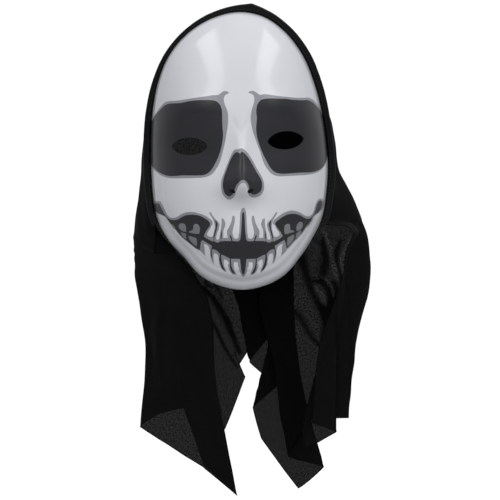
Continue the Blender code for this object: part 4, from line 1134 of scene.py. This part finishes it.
def wrinkle(grid, seed):
    across, down = measured(grid, 1), measured(grid, 0)
    crumpleLength = hood["crumpleSize"] * hood["crumpleStretch"]
    lift = np.zeros(across.shape)
    for place in np.ndindex(*across.shape):
        u, v = across[place], down[place]
        rippled = Vector((u / hood["rippleWidth"], v / hood["rippleLength"], seed))
        crumpled = Vector((u / hood["crumpleSize"], v / crumpleLength, seed + hood["crumpleSeed"]))
        lift[place] = hood["ripple"] * noise.noise(rippled) + hood["crumple"] * noise.noise(crumpled)
    rows = np.arange(len(grid))[:, None]
    held = np.where(rows < hood["upperRows"], np.clip(across / hood["heldWidth"], 0, 1), 1.0)
    sewn = np.clip((across[:, -1:] - across) / hood["sewnWidth"], 0, 1)
    crown = np.clip(rows / hood["crownRows"], 0, 1)
    return grid + gridNormals(grid) * (lift * held * sewn * crown)[..., None], across, down


def tube(name, line, radius, sides):
    line = np.asarray(line)
    along = np.gradient(line, axis=0)
    along /= np.linalg.norm(along, axis=1)[:, None]
    turns = 2 * math.pi * np.arange(sides) / sides
    side, rings = np.cross(along[0], (0.3, 0.8, 0.5)), []  # any direction that no hem runs in
    for middle, way in zip(line, along):
        side = side - way * side.dot(way)
        side /= np.linalg.norm(side)
        up = np.cross(way, side)
        rings.append(middle + radius * (np.outer(np.cos(turns), side) + np.outer(np.sin(turns), up)))
    return ringMesh(name, rings)


def makePanel(name, panel, material, hemMaterial):
    side, folds, upperRows = panel["side"], panel["folds"], hood["upperRows"]
    drawn = panelPoints(side, folds)
    if side > 0:
        turnFrontEdge(drawn, folds)
    # the creases' amounts: positive where the cloth lies folded over, negative for painted highlights along
    # the folds
    foldsAndPaintedSheen, sunk = creaseMap(panel["creases"], folds, drawn)
    drawn[..., 1] += sunk
    grid, across, down = wrinkle(drawn, panel["seed"])
    rows, columns = grid.shape[:2]
    corner = np.arange(rows * columns).reshape(rows, columns)
    faces = np.stack([corner[:-1, :-1], corner[:-1, 1:], corner[1:, 1:], corner[1:, :-1]], -1).reshape(-1, 4)
    faces = faces[:, ::-1] if side > 0 else faces
    piece = meshFrom(name, grid.reshape(-1, 3), faces)
    anchor = foldPlace(folds, panel["anchor"]) * hood["cellsPerFold"]  # a fold where one layer shows
    width, length = across - across[:, anchor : anchor + 1], down - down[upperRows + hood["mapRow"]]
    flatPlace = np.stack([width, length], -1).reshape(-1, 2) * mm
    clothMap = piece.data.uv_layers.new(name="clothMap")
    clothMap.data.foreach_set("uv", flatPlace[faces.reshape(-1)].astype(np.float32).ravel())
    lined = np.clip((np.linspace(0, 1, columns) - panel["linedFrom"]) / hood["linedEdge"], 0, 1)
    high = np.clip((drawn[..., 2] - hood["linedDownTo"]) / hood["linedFade"], 0, 1)
    lined = lined * high * (np.arange(rows) < upperRows)[:, None]
    setValues(piece, "foldsAndPaintedSheen", "POINT", foldsAndPaintedSheen * (1 - lined) + lined)
    piece.data.shade_smooth()
    free = np.concatenate([grid[upperRows - 1 :, 0], grid[-1, 1:]])
    hem = tube(name + "Hem", free, hood["hemRadius"], hood["hemSides"])
    fitOut(piece, material, "hood", panel["node"])
    fitOut(hem, hemMaterial, "hood")
    widest, longest = across[:, -1].max() * mm, down[-1].max() * mm
    print(f"{name}: {rows} rows by {columns} columns, {widest:.3f} by {longest:.3f} m flat")
    return grid


sheerCloth = {
    "colour": (0.0050, 0.0049, 0.0049, 1), "roughness": 0.72, "gloss": 0.06, "patchScale": 20.0,
    "colourChange": 0.5, "roughnessChange": 0.15, "threads": 2100.0, "slub": 1.1, "weaveStrength": 0.25,
    "weaveDepth": 0.0003,
    "thinnest": 0.9785, "densest": 0.9980,  # how much of the light one layer stops, at a gap and at a thread
    "foldAndSheenShare": 0.97,  # share of what is left that a fold stops; a negative amount lets more light through instead, as a painted highlight
}
hemCloth = {
    "colour": (0.0030, 0.0030, 0.0030, 1), "roughness": 0.8, "gloss": 0.06, "patchScale": 200.0,
    "colourChange": 0.5, "roughnessChange": 0.2,
}


def makeSheerCloth():
    material, tree, shader, _, place = markedMaterial("sheerBlackCloth", sheerCloth, "clothMap")
    gaps = addWeave(tree, shader, place, sheerCloth)
    stopped = addNode(tree, "ShaderNodeMapRange", None, Value=gaps, To_Min=sheerCloth["densest"],
                      To_Max=sheerCloth["thinnest"])
    # folds darken the cloth; negative crease amounts brighten it as painted highlights
    foldsAndSheen = addNode(tree, "ShaderNodeAttribute", {"attribute_name": "foldsAndPaintedSheen"}).outputs["Fac"]
    passed = calc(tree, "SUBTRACT", 1.0, stopped.outputs[0])
    left = calc(tree, "SUBTRACT", 1.0, calc(tree, "MULTIPLY", foldsAndSheen, sheerCloth["foldAndSheenShare"]))
    alpha = calc(tree, "SUBTRACT", 1.0, calc(tree, "MULTIPLY", passed, left))
    tree.links.new(alpha, shader.inputs["Alpha"])
    return material


sheer, hemBlack = makeSheerCloth(), markedMaterial("rolledHem", hemCloth)[0]
grids = {name: makePanel(name, panel, sheer, hemBlack) for name, panel in panels.items()}
lapped, row, column = grids["hoodRight"], hood["stitchRow"], hood["stitchColumn"]
seamLine = (lapped + gridNormals(lapped) * hood["stitchRise"])[row:, column]
fitOut(makeStitches("seamStitches", seamLine, hood, blackThread), blackThread, "hood")
print("hood made")

# floor, light and camera

studio = {
    "floorGap": 0.0008, "floorSize": 8.0, "floorColour": (0.36, 0.36, 0.36, 1), "floorGlow": 0.82,
    "floorRoughness": 0.8,
    "backdrop": 1.04, "wallBehind": 0.52, "roomInFront": 0.19, "ceiling": 0.24,
    "wallRange": (-0.6, 0.7), "ceilingRange": (0.1, 0.8), "roomColour": (0.96, 0.97, 1, 1),
    "lights": (  # name, place, aim, width, depth, power, shows in gloss
        ("leftCeilingStrip", (-0.76, -1.0, 1.1), (-0.76, -1.0, 0.0), 0.50, 2.4, 7.6, True),
        ("rightCeilingStrip", (0.92, -0.95, 1.1), (0.92, -0.95, 0.0), 0.62, 2.3, 8.8, True),
        ("leftFill", (-1.5, -1.5, 1.9), (0.0, -0.08, -0.12), 1.2, 1.2, 13.0, False),
        ("rightFill", (1.6, -1.5, 1.9), (0.0, -0.08, -0.12), 1.2, 1.2, 19.5, False),
        ("frontFill", (0.35, -2.9, 0.45), (0.0, -0.08, -0.16), 2.4, 2.0, 32.0, False),
    ),
}
camera = {  # the first four in millimetres, the rest in metres
    "middleX": 8.55, "middleZ": -222.85, "frameSize": 475.0, "planeY": -60.0,
    "distance": 9.0, "nearest": 0.5, "farthest": 60.0,
}


def makeFloor():
    lowest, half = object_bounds()[0].z - studio["floorGap"], studio["floorSize"] / 2
    corners = [(x * half, y * half, lowest) for x, y in ((-1, -1), (1, -1), (1, 1), (-1, 1))]
    data = bpy.data.meshes.new("paleFloor")
    data.from_pydata(corners, [], [(0, 1, 2, 3)])
    floor = placePiece("paleFloor", data)
    material, tree, shader = newMaterial("paleFloor")
    shader.inputs["Base Color"].default_value = studio["floorColour"]
    shader.inputs["Roughness"].default_value = studio["floorRoughness"]
    shader.inputs["Emission Color"].default_value = (1, 1, 1, 1)
    straight = tree.nodes.new("ShaderNodeLightPath").outputs["Is Camera Ray"]
    tree.links.new(calc(tree, "MULTIPLY", straight, studio["floorGlow"]), shader.inputs["Emission Strength"])
    data.materials.append(material)


def makeLights():
    for name, place, aim, width, depth, power, inGloss in studio["lights"]:
        data = bpy.data.lights.new(name, "AREA")
        data.shape, data.size, data.size_y, data.energy = "RECTANGLE", width, depth, power
        lamp = placePiece(name, data)
        lamp.location = place
        lamp.rotation_euler = (Vector(aim) - Vector(place)).to_track_quat("-Z", "Y").to_euler()
        lamp.visible_glossy, lamp.visible_diffuse = inGloss, not inGloss


def makeRoom():
    world = bpy.data.worlds.new("studioRoom")
    bpy.context.scene.world = world
    world.use_nodes = True
    tree = world.node_tree
    tree.nodes.clear()
    way = tree.nodes.new("ShaderNodeTexCoord").outputs["Generated"]
    parts = addNode(tree, "ShaderNodeSeparateXYZ", None, i0=way)
    shares = []  # the white wall is behind, at +y, and the ceiling is pale
    for axis, (start, end), low, high in (
        ("Y", studio["wallRange"], studio["roomInFront"], studio["wallBehind"]),
        ("Z", studio["ceilingRange"], 0.0, studio["ceiling"]),
    ):
        share = addNode(tree, "ShaderNodeMapRange", {"interpolation_type": "SMOOTHSTEP"},
                        Value=parts.outputs[axis], From_Min=start, From_Max=end, To_Min=low, To_Max=high)
        shares.append(share.outputs[0])
    room = addNode(tree, "ShaderNodeBackground", None, Color=studio["roomColour"],
                   Strength=calc(tree, "ADD", *shares))
    seen = addNode(tree, "ShaderNodeBackground", None, Color=(1, 1, 1, 1), Strength=studio["backdrop"])
    direct = tree.nodes.new("ShaderNodeLightPath").outputs["Is Camera Ray"]
    both = addNode(tree, "ShaderNodeMixShader", None, i0=direct, i1=room.outputs[0], i2=seen.outputs[0])
    addNode(tree, "ShaderNodeOutputWorld", None, Surface=both.outputs[0])


def makeCamera():
    data = bpy.data.cameras.new("frontCamera")
    data.lens = data.sensor_width * camera["distance"] / (camera["frameSize"] * mm)
    data.clip_start, data.clip_end = camera["nearest"], camera["farthest"]
    holder = placePiece("frontCamera", data)
    planeY = camera["planeY"] * mm
    holder.location = (camera["middleX"] * mm, planeY - camera["distance"], camera["middleZ"] * mm)
    holder.rotation_euler = (math.pi / 2, 0, 0)
    bpy.context.scene.camera = holder


makeFloor()
makeLights()
makeRoom()
makeCamera()
bpy.context.scene.view_settings.view_transform = "Standard"
print("floor, lights and camera made")
